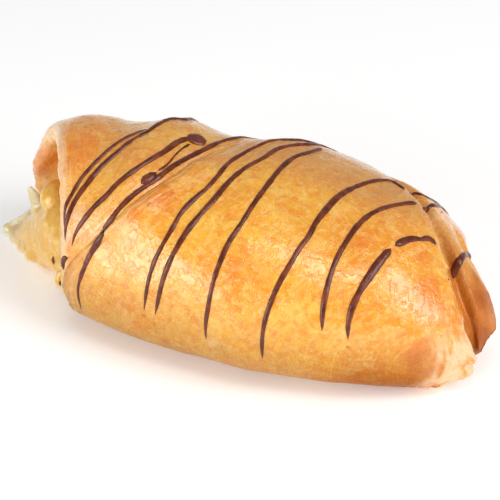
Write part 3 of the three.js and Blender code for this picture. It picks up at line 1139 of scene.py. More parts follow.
    def rounding(self, half: np.ndarray) -> np.ndarray:
        """How far the two skins draw in towards the cut edges.

        Args:
            half: Half of the sheet's thickness at each point.

        Returns:
            The distance that each skin draws in, in millimetres.
        """
        turn = self.turn
        near = ramp(*self.NEAR_FLAP, turn)
        rim = ramp(*self.RIM_ROUNDED, turn)
        fold = near * ramp(*self.FOLD_TURNS, turn)
        round_left = blend(self.FAR_LEFT.radius, self.NEAR_LEFT.radius, near)
        part_left = blend(self.FAR_LEFT.part, self.NEAR_LEFT.part, near)
        round_right = blend(self.FAR_RIGHT.radius, self.RIM.radius, rim)
        round_right = blend(round_right, self.NEAR_RIGHT.radius, near)
        round_right = blend(round_right, self.FOLD.radius, fold)
        far_part = blend(self.FAR_RIGHT.part, self.RIM.part, rim)
        near_part = blend(self.NEAR_RIGHT.part, self.FOLD.part, fold)
        from_tip = np.minimum(turn - self.form.NEAR_TIP, self.form.FAR_TIP - turn)
        drops = (
            half * part_left * self.corner(self.from_left, round_left),
            half * blend(far_part, near_part, near) * self.corner(self.from_right, round_right),
            half * self.TIP.part * self.corner(from_tip, np.full_like(turn, self.TIP.radius)),
        )
        return np.minimum(np.maximum.reduce(drops), half * self.TIP.part)

    def cloud(self, size: float, seed: float, octaves: int = 3) -> np.ndarray:
        """Soft noise over the whole sheet, of a lump size in millimetres."""
        return ripple(self.places, (size,) * 3, seed, octaves).reshape(self.turn.shape)

    def weave(
        self, places: Sequence[np.ndarray], size: Sequence[float], seed: float, octaves: int
    ) -> np.ndarray:
        """Soft noise over places of the caller's own.

        Args:
            places: Three numbers for each point of the sheet, as three grids.
            size: The size of the lumps along each of the three.
            seed: Moves the pattern.
            octaves: How many times finer lumps are added.

        Returns:
            About -1 to 1 for each point.
        """
        rows = np.stack(places, axis=-1).reshape(-1, 3)
        return ripple(rows, size, seed, octaves).reshape(self.turn.shape)

    def find_seam(self) -> None:
        """Works out each point's distance from the line that its streaks run along."""
        form, turn, x = self.form, self.turn, self.x
        seam = np.where(turn < 0, self.from_left, form.left(turn - 360) - x)
        edge = np.where(turn < 0, self.NOWHERE, self.from_left)
        far_top = ramp(*self.FAR_TOP, turn) + (turn < 0)
        seam = np.where(seam < edge, seam, edge)
        self.seam_mask = ramp(self.streak_reach, 1, np.abs(seam)) * np.clip(far_top, 0, 1)
        self.arc = np.radians(turn) * self.ARC_RADIUS
        self.streaks = np.stack([seam, self.arc, np.sign(turn) * self.STREAK_SHIFT], axis=-1)

    def relief(self) -> np.ndarray:
        """How far the outer skin stands out of the smooth form, in millimetres."""
        turn, x = self.turn, self.x
        fade = ramp(*self.BASE_FADE, np.abs(turn)) * ramp(*self.LEFT_FADE, self.from_left)
        swell = self.cloud(self.swell_size, seed=1.0, octaves=2) * self.swell_height
        dents = self.cloud(self.dent_size, seed=2.0, octaves=2) * self.dent_height
        wrinkles = self.cloud(self.wrinkle_size, seed=3.0, octaves=3) * self.wrinkle_height
        size = (self.streak_gap, self.streak_length, 1)
        lines = ripple(self.streaks.reshape(-1, 3), size, seed=4.0, octaves=2).reshape(turn.shape)
        lines = lines * self.streak_height * self.seam_mask
        belly = self.belly_height * hill(*self.BELLY_TURNS, turn)
        belly = belly * ramp(*self.BELLY_START, x) * ramp(*self.BELLY_END, x)
        facet = self.facet_height * hill(*self.FACET_TURNS, turn)
        facet = facet - self.dip_height * hill(*self.DIP_TURNS, turn)
        belly = belly + facet * sum(part * hill(middle, width, x) for middle, width, part in self.FACETS)
        size = (self.drip_gap, self.drip_length, 1)
        drips = self.weave((x, self.arc, 0 * x), size, seed=11.0, octaves=2)
        drips = drips * self.drip_height
        bend = turn + self.CREASE_SWING * np.sin(x / self.CREASE_WAVE)
        crease = -self.crease_depth * hill(*self.CREASE_TURNS, bend)
        crease = crease * ramp(*self.CREASE_START, x) * ramp(*self.CREASE_END, x)
        corner = ramp(*self.FLAKE_STRIP, self.from_right)
        corner = corner * ramp(*self.FLAKE_TOP, turn) * ramp(*self.FLAKE_BASE, turn)
        flakes = self.cloud(self.flake_size, seed=5.0, octaves=3) * self.flake_height
        flakes = corner * (flakes + self.cloud(self.tear_size, seed=6.0, octaves=2) * self.tear_height)
        return (swell + dents + wrinkles + drips + belly + crease + flakes) * fade + lines

    def ragged(self) -> np.ndarray:
        """How far the cut edges wander along the pastry, with the layers of the cut standing out."""
        turn, depth = self.turn, self.depth
        edge = np.minimum(self.from_left, self.from_right)
        side = np.where(self.from_left < self.from_right, -1.0, 1.0)
        places = (turn / self.RAGGED_TURNS, side, 0 * turn)
        wander = self.weave(places, (1, 1, 1), seed=7.0, octaves=4)
        wander = (wander - self.RAGGED_INWARD) * self.ragged_height
        corner = ramp(*self.TORN_TOP, turn) * ramp(*self.TORN_BASE, turn) * (side > 0)
        calm = self.CALM_PART * ramp(*self.CALM_RIM, turn) * (side > 0)
        wander = wander * (1 + self.TORN_PART * corner) * (1 - calm)
        layers = np.sin(depth * math.pi * self.LAYERS + turn * self.LAYER_DRIFT)
        layers = layers * self.layer_height * np.sin(np.clip(depth, 0, 1) * math.pi)
        return side * (wander + layers) * ramp(*self.RAGGED_STRIP, edge)

    @staticmethod
    def corner(distance: np.ndarray, radius: np.ndarray) -> np.ndarray:
        """Quarter of a circle: 1 at an edge, 0 from the radius on."""
        t = np.clip(1 - distance / radius, 0, 1)
        return 1 - np.sqrt(np.clip(1 - t * t, 0, 1))

    def paint(self) -> dict[str, np.ndarray]:
        """Works out where the dough is browner, paler, streaked or cut open, and where painted shade and
        painted highlights lie.

        Returns:
            The masks by name.
        """
        turn, x, depth = self.turn, self.x, self.depth
        across = np.abs(turn)
        in_front = turn < 0
        cloud = self.cloud(self.patch_size, seed=8.0)
        haze = self.cloud(self.haze_size, seed=9.0, octaves=2)
        outside = depth < 0.5
        inside = ramp(*self.INNER_SKIN, depth)
        cut = ramp(*self.CUT_START, depth) * ramp(*self.CUT_END, depth)
        rim = ramp(*self.RIM_TURNS, turn) * ramp(*self.RIM_STRIP, self.from_right)
        beyond_near = x - self.form.right(turn - 360)
        # the groove's browning is partly pooled egg wash and partly painted shade
        bowl = ramp(*self.BOWL_TURNS, turn) * hill(*self.BOWL, beyond_near) * outside
        # the pale low flanks: partly duller dough, partly painted shade
        low = ramp(*self.LOW_FLANK, across) * self.FLANK_PALE
        low = low + ramp(*self.LOW_FOOT, across) * self.FOOT_PALE
        low = low * (1 - self.BAKED_PART * ramp(*self.BAKED_RIGHT, x))
        far_edge = ramp(*self.FAR_EDGE_TURNS, turn) * ramp(*self.FAR_EDGE, self.from_left) * outside
        near_edge = in_front * ramp(*self.NEAR_EDGE, self.from_left) * outside
        # painted shade on the backs of both flaps
        far_back = ramp(*self.FAR_BACK, turn) * self.FAR_BACK_SHADE * ramp(*self.FAR_BACK_X, x)
        back_shaded = ramp(*self.NEAR_BACK, turn) + far_back
        lip = inside * hill(*self.LIP_TURNS, turn) * ramp(*self.LIP_X, x)
        # painted highlight on the far flap's top past the near flap's right edge
        peach = ramp(*self.PEACH_START, turn) * ramp(*self.PEACH_END, turn)
        peach = peach * ramp(*self.PEACH_X, x) * outside
        orange = hill(*self.SHOULDER, turn) * ramp(*self.SHOULDER_X, x)
        orange = orange + self.FOOT_ORANGE * hill(*self.FOOT, turn) * ramp(*self.FOOT_X, x)
        folded = in_front * ramp(*self.FOLD_TURNS, turn) * (self.from_right < self.from_left)
        flaky = ramp(*self.DRY_STRIP, self.from_right) * ramp(*self.DRY_TOP, turn)
        flaky = flaky * ramp(*self.DRY_BASE, turn) * outside
        size = (self.flake_gap, self.flake_length, 1)
        flakes = self.weave((self.from_right, self.arc, 0 * turn), size, seed=12.0, octaves=3)
        torn = flaky * np.clip(-flakes - self.TORN_LEVEL, 0, 1)
        crumb_and_highlight = cut * (1 - rim) * (1 - folded) + far_edge * self.EDGE_CRUMB
        # painted shade on the low flanks
        shaded = ramp(*self.SHADED, across) * outside * (1 - flaky)
        masks = {  # how much of each of these places goes into each mask
            # brown: the groove's share is partly painted shade
            "brown": rim * (0.62 + 0.25 * cloud) + bowl * 0.46 + lip * 0.06 + cloud * 0.08 + torn * 1.2,
            # pale: on the low flanks partly painted shade; on the far flap's top at the right end a painted
            # highlight
            "pale": low * (0.75 + 0.4 * cloud) + 0.5 * inside * (1 - lip) + 0.5 * peach + 0.4 * near_edge,
            "tan": back_shaded * 0.55 * outside,
            "crumb_and_highlight": crumb_and_highlight + flaky * (0.70 + 2.0 * flakes + 0.5 * cloud),
            "amber": orange * 0.7 + 0.9 * haze + 0.32 + rim + bowl + lip,
            "streak": self.seam_mask * outside,
        }
        masks = {name: np.clip(mask, 0, 1) for name, mask in masks.items()}
        # more painted shade on the front towards the right end
        darker = 1 + self.SHADED_MORE * ramp(*self.SHADED_RIGHT, x) * in_front
        return {**masks, "shade": shaded * darker}

    def grid_mesh(self, points: np.ndarray) -> bpy.types.Mesh:
        """Makes a grid and moves its points to where the sheet's are.

        Args:
            points: Points in millimetres, by row and column.

        Returns:
            The open mesh in metres with its masks.
        """
        rows, columns = points.shape[:2]
        bm = bmesh.new()
        bmesh.ops.create_grid(bm, x_segments=rows - 1, y_segments=columns - 1, size=1)
        mesh = bpy.data.meshes.new("sheet_grid")
        bm.to_mesh(mesh)
        bm.free()
        flat = np.zeros(len(mesh.vertices) * 3)
        mesh.vertices.foreach_get("co", flat)
        cells = (flat.reshape(-1, 3)[:, :2] + 1) / 2 * (rows - 1, columns - 1)
        i, j = np.rint(cells).astype(int).T
        mesh.vertices.foreach_set("co", (points[i, j] * MM).ravel())
        for name, mask in self.masks.items():
            attribute = mesh.attributes.new(name, "FLOAT", "POINT")
            attribute.data.foreach_set("value", mask[i, j].astype(np.float32))
        attribute = mesh.attributes.new("streaks", "FLOAT_VECTOR", "POINT")
        attribute.data.foreach_set("vector", self.streaks[i, j].astype(np.float32).ravel())
        return mesh

    def close(self, bm: bmesh.types.BMesh) -> None:
        """Closes the loop of columns and the sheet's two tips, and turns the faces outwards."""
        bmesh.ops.remove_doubles(bm, verts=bm.verts, dist=WELD)
        rim = [e for e in bm.edges if e.is_boundary]
        bmesh.ops.holes_fill(bm, edges=rim, sides=0)
        caps = [f for f in bm.faces if len(f.verts) > 4]
        bmesh.ops.triangulate(bm, faces=caps)
        bmesh.ops.recalc_face_normals(bm, faces=bm.faces)
        open_edges = sum(1 for e in bm.edges if not e.is_manifold)
        LOG.info("dough: %d open edges", open_edges)

    def blister(self, bm: bmesh.types.BMesh) -> None:
        """Raises and browns the small places: those that the photograph shows, among them a few painted
        highlights, and finer ones all over.
        """
        tree = BVHTree.FromBMesh(bm)
        bm.verts.ensure_lookup_table()
        co = np.array([v.co[:] for v in bm.verts]) / MM
        normals = np.array([v.normal[:] for v in bm.verts])
        paints = [bm.verts.layers.float[name] for name in ("brown", "crumb_and_highlight", "amber")]
        spots = []
        for dab in self.dabs:
            place = tree.ray_cast(*self.studio.sight(dab.pixel))[0]
            if place is not None:
                tints = (dab.brown, dab.crumb_and_highlight, dab.amber)
                spots.append((np.array(place) / MM, dab.radius, dab.height, tints))
        rng = np.random.default_rng(self.seed)
        for index in rng.integers(0, len(co), self.blister_count):
            radius = rng.uniform(*self.BLISTER_RADII)
            brown = rng.uniform(0.0, self.BLISTER_BROWN)
            spots.append((co[index], radius, radius * self.BLISTER_STEEPNESS, (brown, 0.0, 0.0)))
        for place, radius, height, tints in spots:
            away = np.linalg.norm(co - place, axis=1)
            for index in np.nonzero(away < radius)[0]:
                vert = bm.verts[index]
                lumps = noise.noise(vert.co / (radius * self.BLISTER_LUMPS * MM))
                ragged = 1 + self.BLISTER_RAGGED * lumps
                part = (1 - (away[index] / radius) ** 2) ** 2
                if vert.co.z > self.CLEAR_OF_BASE:
                    vert.co += Vector(normals[index]) * float(height * part * MM)
                for paint, tint in zip(paints, tints):
                    vert[paint] = min(vert[paint] + tint * part * ragged, 1)


# ---------------------------------------------------------------- the filling


@dataclass(frozen=True)
class Lobe:
    """A drop of filling on the mound: its middle in the form's axes, half sizes and lean."""

    middle: tuple[float, float, float]
    sizes: tuple[float, float, float]
    lean: float = 0.0  # degrees that its long side leans, its top towards -x
    thin: float = 0.0

    def matrix(self) -> Matrix:
        """Turns a unit ball into the lobe, in millimetres."""
        place = Matrix.Translation(Vector(self.middle) - Vector((*FoldedForm.MIDDLE, 0)))
        return place @ Matrix.Rotation(-math.radians(self.lean), 4, "Y") @ Matrix.Diagonal((*self.sizes, 1))


@dataclass
class Filling:
    """The soft filling: a core through the whole tunnel and the mound that bulges out on the left."""

    SHOWN_START = (-40, -50)  # x from which the rings lie closer
    SHOWN_CROWD = 2.2
    LUMPY_LEFT = (-38, -48)  # x where the lumps show, on each side
    LUMPY_RIGHT = (53, 57)
    LUMPY_FOOT = (0.3, 2.0)  # height at which they start
    LOWEST = 0.02
    THIN_END = (-65, -72)
    THIN_PART = 0.6
    THIN_RIM = (1.8, 0.9)  # distance from a thin lobe's middle, in half sizes
    UNDER_TURNS = (276, 284)  # the near flap's start is the dough floor from here on
    SPARE_TURNS = (-4, 0, 4)
    DOME_PART = 0.96
    FLOOR_MIDDLE = -52.5  # x of the dough floor's left edge in the middle, and at two places across
    FLOOR_FRONT = (-47.0, -9.5)
    FLOOR_BACK = (-75.0, 15.5)

    form: FoldedForm
    steps: int = 150
    sides: int = 96
    gap: float = 0.35
    right_end: float = 53.0
    dome_length: float = 6.0
    core_start: float = -46.0
    mound_end: float = -56.0
    mound: tuple[tuple[float, float, float, float], ...] = (  # x, middle, half width, top
        (-81.5, 11.4, 1.6, 2.2),
        (-79.5, 11.0, 2.6, 3.6),
        (-77.4, 10.6, 3.8, 4.8),
        (-74.4, 9.8, 5.2, 8.8),
        (-71.0, 8.4, 6.8, 12.0),
        (-67.0, 6.6, 8.2, 16.5),
        (-62.0, 4.0, 9.4, 20.0),
        (-48.0, -1.0, 10.5, 24.5),
    )
    waist: float = 0.42
    foot: float = 1.15
    ledge_reach: float = 3.0
    ledge_drop: float = 3.5
    lobes: tuple[Lobe, ...] = (
        Lobe((-62.6, 7.0, 19.0), (5.0, 6.0, 5.6), 8),
        Lobe((-70.4, 8.0, 16.6), (2.2, 0.9, 4.8), 14, 1.0),
        Lobe((-69.8, 8.5, 13.0), (2.8, 2.2, 3.2), 10, 0.5),
        Lobe((-77.4, 12.0, 6.6), (6.2, 1.0, 1.1), 39, 1.0),
        Lobe((-82.2, 11.6, 1.9), (1.4, 1.5, 1.6), 0, 1.0),
        Lobe((-76.6, 8.6, 1.6), (3.4, 2.4, 2.2), 0, 0.7),
        Lobe((-73.0, 5.6, 1.6), (3.2, 2.6, 2.2), 0, 0.4),
        Lobe((-68.6, 2.6, 2.2), (3.6, 3.2, 2.8), 0, 0.1),
        Lobe((-63.0, 0.0, 2.6), (3.8, 2.6, 3.0)),
        Lobe((-55.8, -8.4, 3.0), (1.7, 1.6, 2.6)),
    )
    voxel: float = 0.46
    melts: int = 8
    lump_height: float = 0.45
    lump_size: float = 6.0
    knob_height: float = 0.05
    knob_size: float = 2.4

    def build(self) -> bpy.types.Object:
        """Makes the filling and dresses it.

        Returns:
            The finished piece, which stands for the solid model's filling.
        """
        x_row = np.linspace(self.mound[0][0], self.right_end, self.steps + 1)
        weight = 1 + self.SHOWN_CROWD * ramp(*self.SHOWN_START, x_row)
        x_row = Dough.spread(x_row, weight, self.steps)
        x = np.repeat(x_row[:, None], self.sides + 1, axis=1)
        turn = np.tile(np.linspace(0, 360, self.sides + 1), (self.steps + 1, 1))
        core = ramp(self.mound_end, self.core_start, x)[..., None]
        bm = self.tube(blend(self.mound_points(turn, x), self.core_points(turn, x), core))
        for lobe in self.lobes:
            place = Matrix.Scale(MM, 4) @ lobe.matrix()
            bmesh.ops.create_icosphere(bm, subdivisions=3, radius=1, matrix=place)
        self.melt(bm)
        piece = new_piece("soft_filling", bm, FillingFinish().material())
        self.thin_places(piece)
        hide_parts("filling")
        return piece

    def melt(self, bm: bmesh.types.BMesh) -> None:
        """Makes one skin of the tube and the lobes, and lays lumps on it."""
        mesh = bpy.data.meshes.new("melting")
        bm.to_mesh(mesh)
        bm.clear()
        rough = bpy.data.objects.new("melting", mesh)
        bpy.context.scene.collection.objects.link(rough)
        remesh = rough.modifiers.new("one_skin", "REMESH")
        remesh.mode = "VOXEL"
        remesh.voxel_size = self.voxel * MM
        deps = bpy.context.evaluated_depsgraph_get()
        bm.from_mesh(rough.evaluated_get(deps).to_mesh())
        bpy.data.objects.remove(rough)
        bpy.data.meshes.remove(mesh)
        axes = {"use_axis_x": True, "use_axis_y": True, "use_axis_z": True}
        for _ in range(self.melts):
            bmesh.ops.smooth_vert(bm, verts=bm.verts, factor=0.5, **axes)
        bm.normal_update()
        where = np.array([v.co[:] for v in bm.verts]) / MM
        lumps = ripple(where, (self.lump_size,) * 3, seed=4.0, octaves=2) * self.lump_height
        knobs = ripple(where, (self.knob_size,) * 3, seed=6.0, octaves=2) * self.knob_height
        lumps = lumps + knobs
        shown = ramp(*self.LUMPY_LEFT, where[:, 0]) + ramp(*self.LUMPY_RIGHT, where[:, 0])
        shown = shown * ramp(*self.LUMPY_FOOT, where[:, 2])
        for vert, lump in zip(bm.verts, (lumps * shown).tolist()):
            vert.co += vert.normal * lump * MM
            vert.co.z = max(vert.co.z, self.LOWEST * MM)

    def thin_places(self, piece: bpy.types.Object) -> None:
        """Marks the thin, clear places: the left end and the thin lobes."""
        where = np.array([v.co[:] for v in piece.data.vertices]) / MM
        thin = ramp(*self.THIN_END, where[:, 0]) * self.THIN_PART
        ones = np.ones((len(where), 1))
        for lobe in self.lobes:
            local = np.hstack([where, ones]) @ np.array(lobe.matrix().inverted()).T
            away = np.linalg.norm(local[:, :3], axis=1)
            thin = np.maximum(thin, lobe.thin * ramp(*self.THIN_RIM, away))
        mask = piece.data.attributes.new("thin", "FLOAT", "POINT")
        mask.data.foreach_set("value", thin.astype(np.float32))

    def hollow(self, turn: np.ndarray, x: np.ndarray) -> np.ndarray:
        """Clear distance from the spine to the inside of the dough."""
        wrapped = np.mod(turn, 360)
        far = self.form.inner(wrapped, x)
        near = self.form.inner(wrapped - 360, x)
        return blend(far, near, ramp(*self.UNDER_TURNS, wrapped))

    def core_points(self, turn: np.ndarray, x: np.ndarray) -> np.ndarray:
        """Points of the core that fills the tunnel."""
        clear = np.minimum.reduce([self.hollow(turn + d, x) for d in self.SPARE_TURNS]) - self.gap
        dome = np.clip(1 - (self.right_end - x) / self.dome_length, 0, 1)
        clear = clear * np.sqrt(1 - self.DOME_PART * dome**2)
        return self.form.place(turn, x, clear, self.form.floor(x) + self.gap)

    def floor_edge(self, y: np.ndarray) -> np.ndarray:
        """x of the dough floor's left edge at a place across the pastry."""
        (front_x, front_y), (back_x, back_y) = self.FLOOR_FRONT, self.FLOOR_BACK
        front = blend(self.FLOOR_MIDDLE, front_x, np.clip(y / front_y, 0, 1))
        back = blend(self.FLOOR_MIDDLE, back_x, np.clip(y / back_y, 0, 1))
        return np.where(y < 0, front, back)

    def mound_points(self, turn: np.ndarray, x: np.ndarray) -> np.ndarray:
        """Points of the mound, which stands on the dough floor and, past its edge, on the ground."""
        station, middle, half, top = (list(row) for row in zip(*self.mound))
        angle = np.radians(turn - 90)
        up = np.sin(angle)
        part = np.where(up > 0, blend(self.waist, 1, up), np.maximum(self.waist * (1 + self.foot * up), 0))
        y = SmoothTable(station, middle)(x) + SmoothTable(station, half)(x) * np.cos(angle)
        edge = self.floor_edge(y) - self.ledge_reach
        foot = ramp(0, self.ledge_drop, x - edge + self.ledge_drop) * (self.form.floor(x) + self.gap)
        z = blend(foot, SmoothTable(station, top)(x), part)
        return np.stack([x - self.form.MIDDLE[0], y - self.form.MIDDLE[1], z], axis=-1)

    @staticmethod
    def tube(points: np.ndarray) -> bmesh.types.BMesh:
        """A closed body from rings of points.

        Args:
            points: Points in millimetres, by ring and place in the ring; the last place repeats the first.

        Returns:
            The mesh in metres.
        """
        rows, columns = points.shape[:2]
        bm = bmesh.new()
        bmesh.ops.create_grid(bm, x_segments=rows - 1, y_segments=columns - 1, size=1)
        for vert in bm.verts:
            i = round((vert.co.x + 1) / 2 * (rows - 1))
            j = round((vert.co.y + 1) / 2 * (columns - 1))
            vert.co = Vector(points[i, j]) * MM
        bmesh.ops.remove_doubles(bm, verts=bm.verts, dist=WELD)
        ends = [e for e in bm.edges if e.is_boundary]
        bmesh.ops.holes_fill(bm, edges=ends, sides=0)
        caps = [f for f in bm.faces if len(f.verts) > 4]
        bmesh.ops.poke(bm, faces=caps)
        bmesh.ops.recalc_face_normals(bm, faces=bm.faces)
        return bm


# ---------------------------------------------------------------- the chocolate


@dataclass
class Stripe:
    """One piped line: pixels of the photograph from its front end to its back end."""

    path: tuple[Pixel, ...]
    widths: tuple[float, ...] = (1.3, 1.45, 1.45)  # millimetres, evenly spread along the path
    front_taper: float = 4.0
    back_taper: float = 2.0
    over_back: float = 0.0  # how far the line runs on down the hidden back
    lean: tuple[float, float] = (0.579, 0.815)  # the way in which it runs on, seen from above


@dataclass
class Chocolate:
    """Thin lines of chocolate, piped over the baked crust, with a few drips on the filling."""

    studio: Studio
    crust: bpy.types.Object
    filling: bpy.types.Object
    step: float = 0.7
    height_part: float = 0.34
    width_part: float = 1.0
    most_height: float = 0.65
    widest_gap: float = 1.1  # millimetres of air under a line, past which it breaks
    bead_sides: int = 10
    sink: float = 0.35  # part of the way from the crust to the path at which a ring's middle lies
    pixel_step: float = 2.0
    fewest_points: int = 8
    fewest_steps: int = 4
    shortest_run: int = 3  # points
    hub_height: float = 18.0  # the lines on the hidden back go round this height
    lowest_angle: float = -0.3
    angle_step: float = 0.02
    start_reach: float = 90.0
    longest_step: float = 6.0
    kink_rounds: int = 3
    uneven: tuple[tuple[float, float], ...] = ((0.18, 260), (0.16, 700))  # parts and lumps a metre
    thin_end: float = 0.25
    blunt_end: float = 0.04
    stripes: tuple[Stripe, ...] = (
        Stripe(
            path=((64, 226), (66.4, 204), (72, 194), (82, 177.5), (97, 161), (112, 147), (126, 138),
                  (137, 133), (147, 129)),
            widths=(0.9, 1.2, 1.3, 1.4, 1.2), front_taper=7.0, back_taper=3.0,
        ),
        Stripe(
            path=((65.4, 241.6), (65.2, 232), (67.4, 218.6), (75, 201), (87, 184), (103, 165), (118, 152),
                  (133, 140), (145, 133.5), (159, 124), (171.6, 119), (183, 120)),
            widths=(1.0, 1.7, 1.6, 1.7, 1.6), front_taper=7.0, back_taper=3.0, over_back=30.0,
            lean=(0.05, 1.0),
        ),
        Stripe(
            path=((71.6, 246.4), (76, 232), (83.6, 220.5), (97, 204), (104.6, 197.6), (116, 185),
                  (130.5, 173), (150, 160), (164, 152), (180, 141), (190, 138)),
            widths=(0.9, 1.3, 1.6, 1.6, 1.6, 1.7, 1.7, 1.7), front_taper=6.0, back_taper=0.8,
        ),
        Stripe(
            path=((187, 140), (193, 139.6), (200, 139.8), (207, 141)),
            widths=(2.8, 4.6, 5.0, 4.2), front_taper=1.0, back_taper=1.2,
        ),
        Stripe(
            path=((190, 144), (181, 149.5), (174, 156.5), (167, 165), (158, 171)),
            widths=(1.0, 0.55, 0.5, 0.55, 0.9), front_taper=1.0, back_taper=1.0,
        ),
        Stripe(
            path=((157, 172), (152, 175.5), (147, 179), (141, 184)),
            widths=(1.0, 2.2, 3.0, 2.4), front_taper=1.6, back_taper=1.2,
        ),
        Stripe(
            path=((81.7, 310), (78.5, 297), (78, 289), (81, 276.5), (89, 257), (99, 240), (115, 214),
                  (126, 201.6), (137, 192), (151.5, 182.5), (175, 165), (202.5, 150.6), (223, 141),
                  (236, 138), (252, 136.7)),
            widths=(0.8, 1.3, 1.7, 1.4, 1.5, 1.6, 1.4, 1.2), front_taper=6.0, back_taper=3.0,
            over_back=41.0,
        ),
        Stripe(
            path=((144, 311), (145, 302), (148, 283), (154, 262.5), (162, 246), (172, 229), (181, 213),
                  (193, 200), (206, 189), (218.6, 175), (226.5, 165), (242.5, 154), (258, 146),
                  (271, 141), (286, 140)),
            widths=(0.9, 1.3, 1.3, 1.5, 1.5, 1.4, 1.4), front_taper=5.0, back_taper=3.0, over_back=36.0,
        ),
        Stripe(
            path=((155, 315), (158, 301), (162, 283), (170, 261), (178.6, 244.6), (190, 227),
                  (201.6, 213), (213, 201), (226.5, 184.5), (242.5, 170), (265, 157), (277.6, 149),
                  (293.5, 145.4), (303, 144.6), (322, 145.4), (331, 147)),
            widths=(1.0, 1.5, 1.5, 1.7, 1.6, 1.6, 1.5, 1.3), front_taper=5.0, back_taper=3.0,
            over_back=30.0,
        ),
        Stripe(
            path=((206, 340), (205.4, 327.6), (208, 308), (213, 283), (219.4, 264), (228.4, 243),
                  (241, 224), (253, 205), (268, 184.5), (280.7, 168.6), (295, 157), (309, 152.6),
                  (322, 148.5)),
            widths=(0.9, 1.2, 1.4, 1.4, 1.5, 1.5, 1.4), front_taper=5.0, back_taper=1.0,
        ),
        Stripe(
            path=((262.5, 359), (262, 343), (264, 325), (271, 302), (280, 281.6), (292, 261), (301, 246),
                  (308.4, 237), (315, 224), (325, 211), (338, 197), (362, 184.5), (378, 180.5),
                  (392, 181.5), (405, 190)),
            widths=(0.9, 1.2, 1.4, 1.4, 1.5, 1.9, 1.5, 1.4, 1.3), front_taper=5.0, back_taper=1.0,
        ),
        Stripe(
            path=((322, 331), (322.4, 315), (325, 297), (330, 276.5), (338, 256), (346.7, 241),
                  (355.6, 228), (371, 214), (385, 207.7), (400, 204.5), (410.7, 203), (417, 203.5)),
            widths=(1.0, 1.6, 1.4, 1.5, 1.7, 1.5, 1.6), front_taper=4.0, back_taper=1.0,
        ),
        Stripe(
            path=((348, 340), (348, 325), (352, 308), (359.4, 292), (371, 274), (381, 260), (391, 248.5)),
            widths=(0.9, 1.6, 2.0, 2.3, 2.2), front_taper=4.0, back_taper=2.0,
        ),
        Stripe(
            path=((395, 246), (402, 242), (410.7, 239), (416, 238.5), (421.4, 239.6), (428.6, 238),
                  (436.5, 245)),
            widths=(1.8, 2.2, 1.8, 1.3, 1.7, 1.3), front_taper=1.2, back_taper=1.2,
        ),
        Stripe(
            path=((410, 193.6), (415.7, 192.8), (423, 195.7), (434, 200.6)),
            widths=(0.9, 1.0, 0.9), front_taper=1.0, back_taper=3.0, over_back=28.0,
        ),
        Stripe(
            path=((423.6, 209.8), (427, 209), (432, 205.6), (440, 206.4), (444.7, 209.8), (449, 214.3)),
            widths=(1.6, 1.5, 1.0), front_taper=1.0, back_taper=3.0, over_back=20.0,
        ),
        Stripe(
            path=((453, 278.6), (453.8, 272), (458, 263.6), (462, 257), (468, 253.7), (473, 258),
                  (474, 259.5)),
            widths=(2.2, 2.0, 1.6), front_taper=1.0, back_taper=2.0, over_back=12.0,
        ),
        Stripe(
            path=((441.5, 211.5), (442.5, 212.8)),
            widths=(0.9,), front_taper=0.5, back_taper=0.5,
        ),
        Stripe(
            path=((448, 279), (449.2, 280)),
            widths=(0.7,), front_taper=0.5, back_taper=0.5,
        ),
        Stripe(
            path=((53.5, 256), (53, 260), (53.7, 265)),
            widths=(1.0, 1.3, 0.9), front_taper=1.2, back_taper=1.2,
        ),
        Stripe(
            path=((68, 257.5), (64.5, 257.5), (62.8, 261), (63, 266), (64, 270.5)),
            widths=(1.5, 1.7, 1.3), front_taper=0.8, back_taper=1.6,
        ),
        Stripe(
            path=((62.5, 278), (60, 281), (60.5, 285), (62.5, 289)),
            widths=(0.8, 0.9, 0.7), front_taper=0.8, back_taper=0.8,
        ),
    )

    def build(self) -> bpy.types.Object:
        """Makes the lines and dresses them.

        Returns:
            The finished piece.
        """
        deps = bpy.context.evaluated_depsgraph_get()
        both = bmesh.new()
        for carrier in (self.crust, self.filling):
            both.from_mesh(carrier.evaluated_get(deps).data)
        self.tree = BVHTree.FromBMesh(both)
        both.free()
        bm = bmesh.new()
        for stripe in self.stripes:
            runs = self.runs(stripe.path)
            for points in runs:
                shown = self.length(points)
                if points is runs[-1]:
                    points = points + self.run_on(points[-1], stripe)
                line = bmesh.new()
                self.bead(line, self.resample(points), stripe, shown)
                bmesh.ops.recalc_face_normals(line, faces=line.faces)
                self.put_in_order(line)
                mesh = bpy.data.meshes.new("line")
                line.to_mesh(mesh)
                line.free()
                bm.from_mesh(mesh)
                bpy.data.meshes.remove(mesh)
        return new_piece("chocolate_lines", bm, ChocolateFinish().material())

    @staticmethod
    def put_in_order(bm: bmesh.types.BMesh) -> None:
        """Orders a line's edges and faces by their points, so that every run gives the same mesh."""
        count = len(bm.verts)

        def by_points(part: bmesh.types.BMEdge | bmesh.types.BMFace) -> float:
            """A number for an edge or a face, from the lowest of its points' numbers."""
            lowest = sorted(vert.index for vert in part.verts)[:3]
            return float(sum(index * count ** (2 - place) for place, index in enumerate(lowest)))

        bm.verts.index_update()
        bm.edges.sort(key=by_points)
        bm.faces.sort(key=by_points)

    def dense(self, path: tuple[Pixel, ...]) -> list[Pixel]:
        """The path with points between its corners, on a smooth curve."""
        corners = np.array(path, float)
        length = np.concatenate([[0], np.cumsum(np.linalg.norm(np.diff(corners, axis=0), axis=1))])
        at = np.linspace(0, length[-1], max(self.fewest_points, int(length[-1] / self.pixel_step)))
        across = SmoothTable(length, corners[:, 0])(at)
        down = SmoothTable(length, corners[:, 1])(at)
        return list(zip(across.tolist(), down.tolist()))

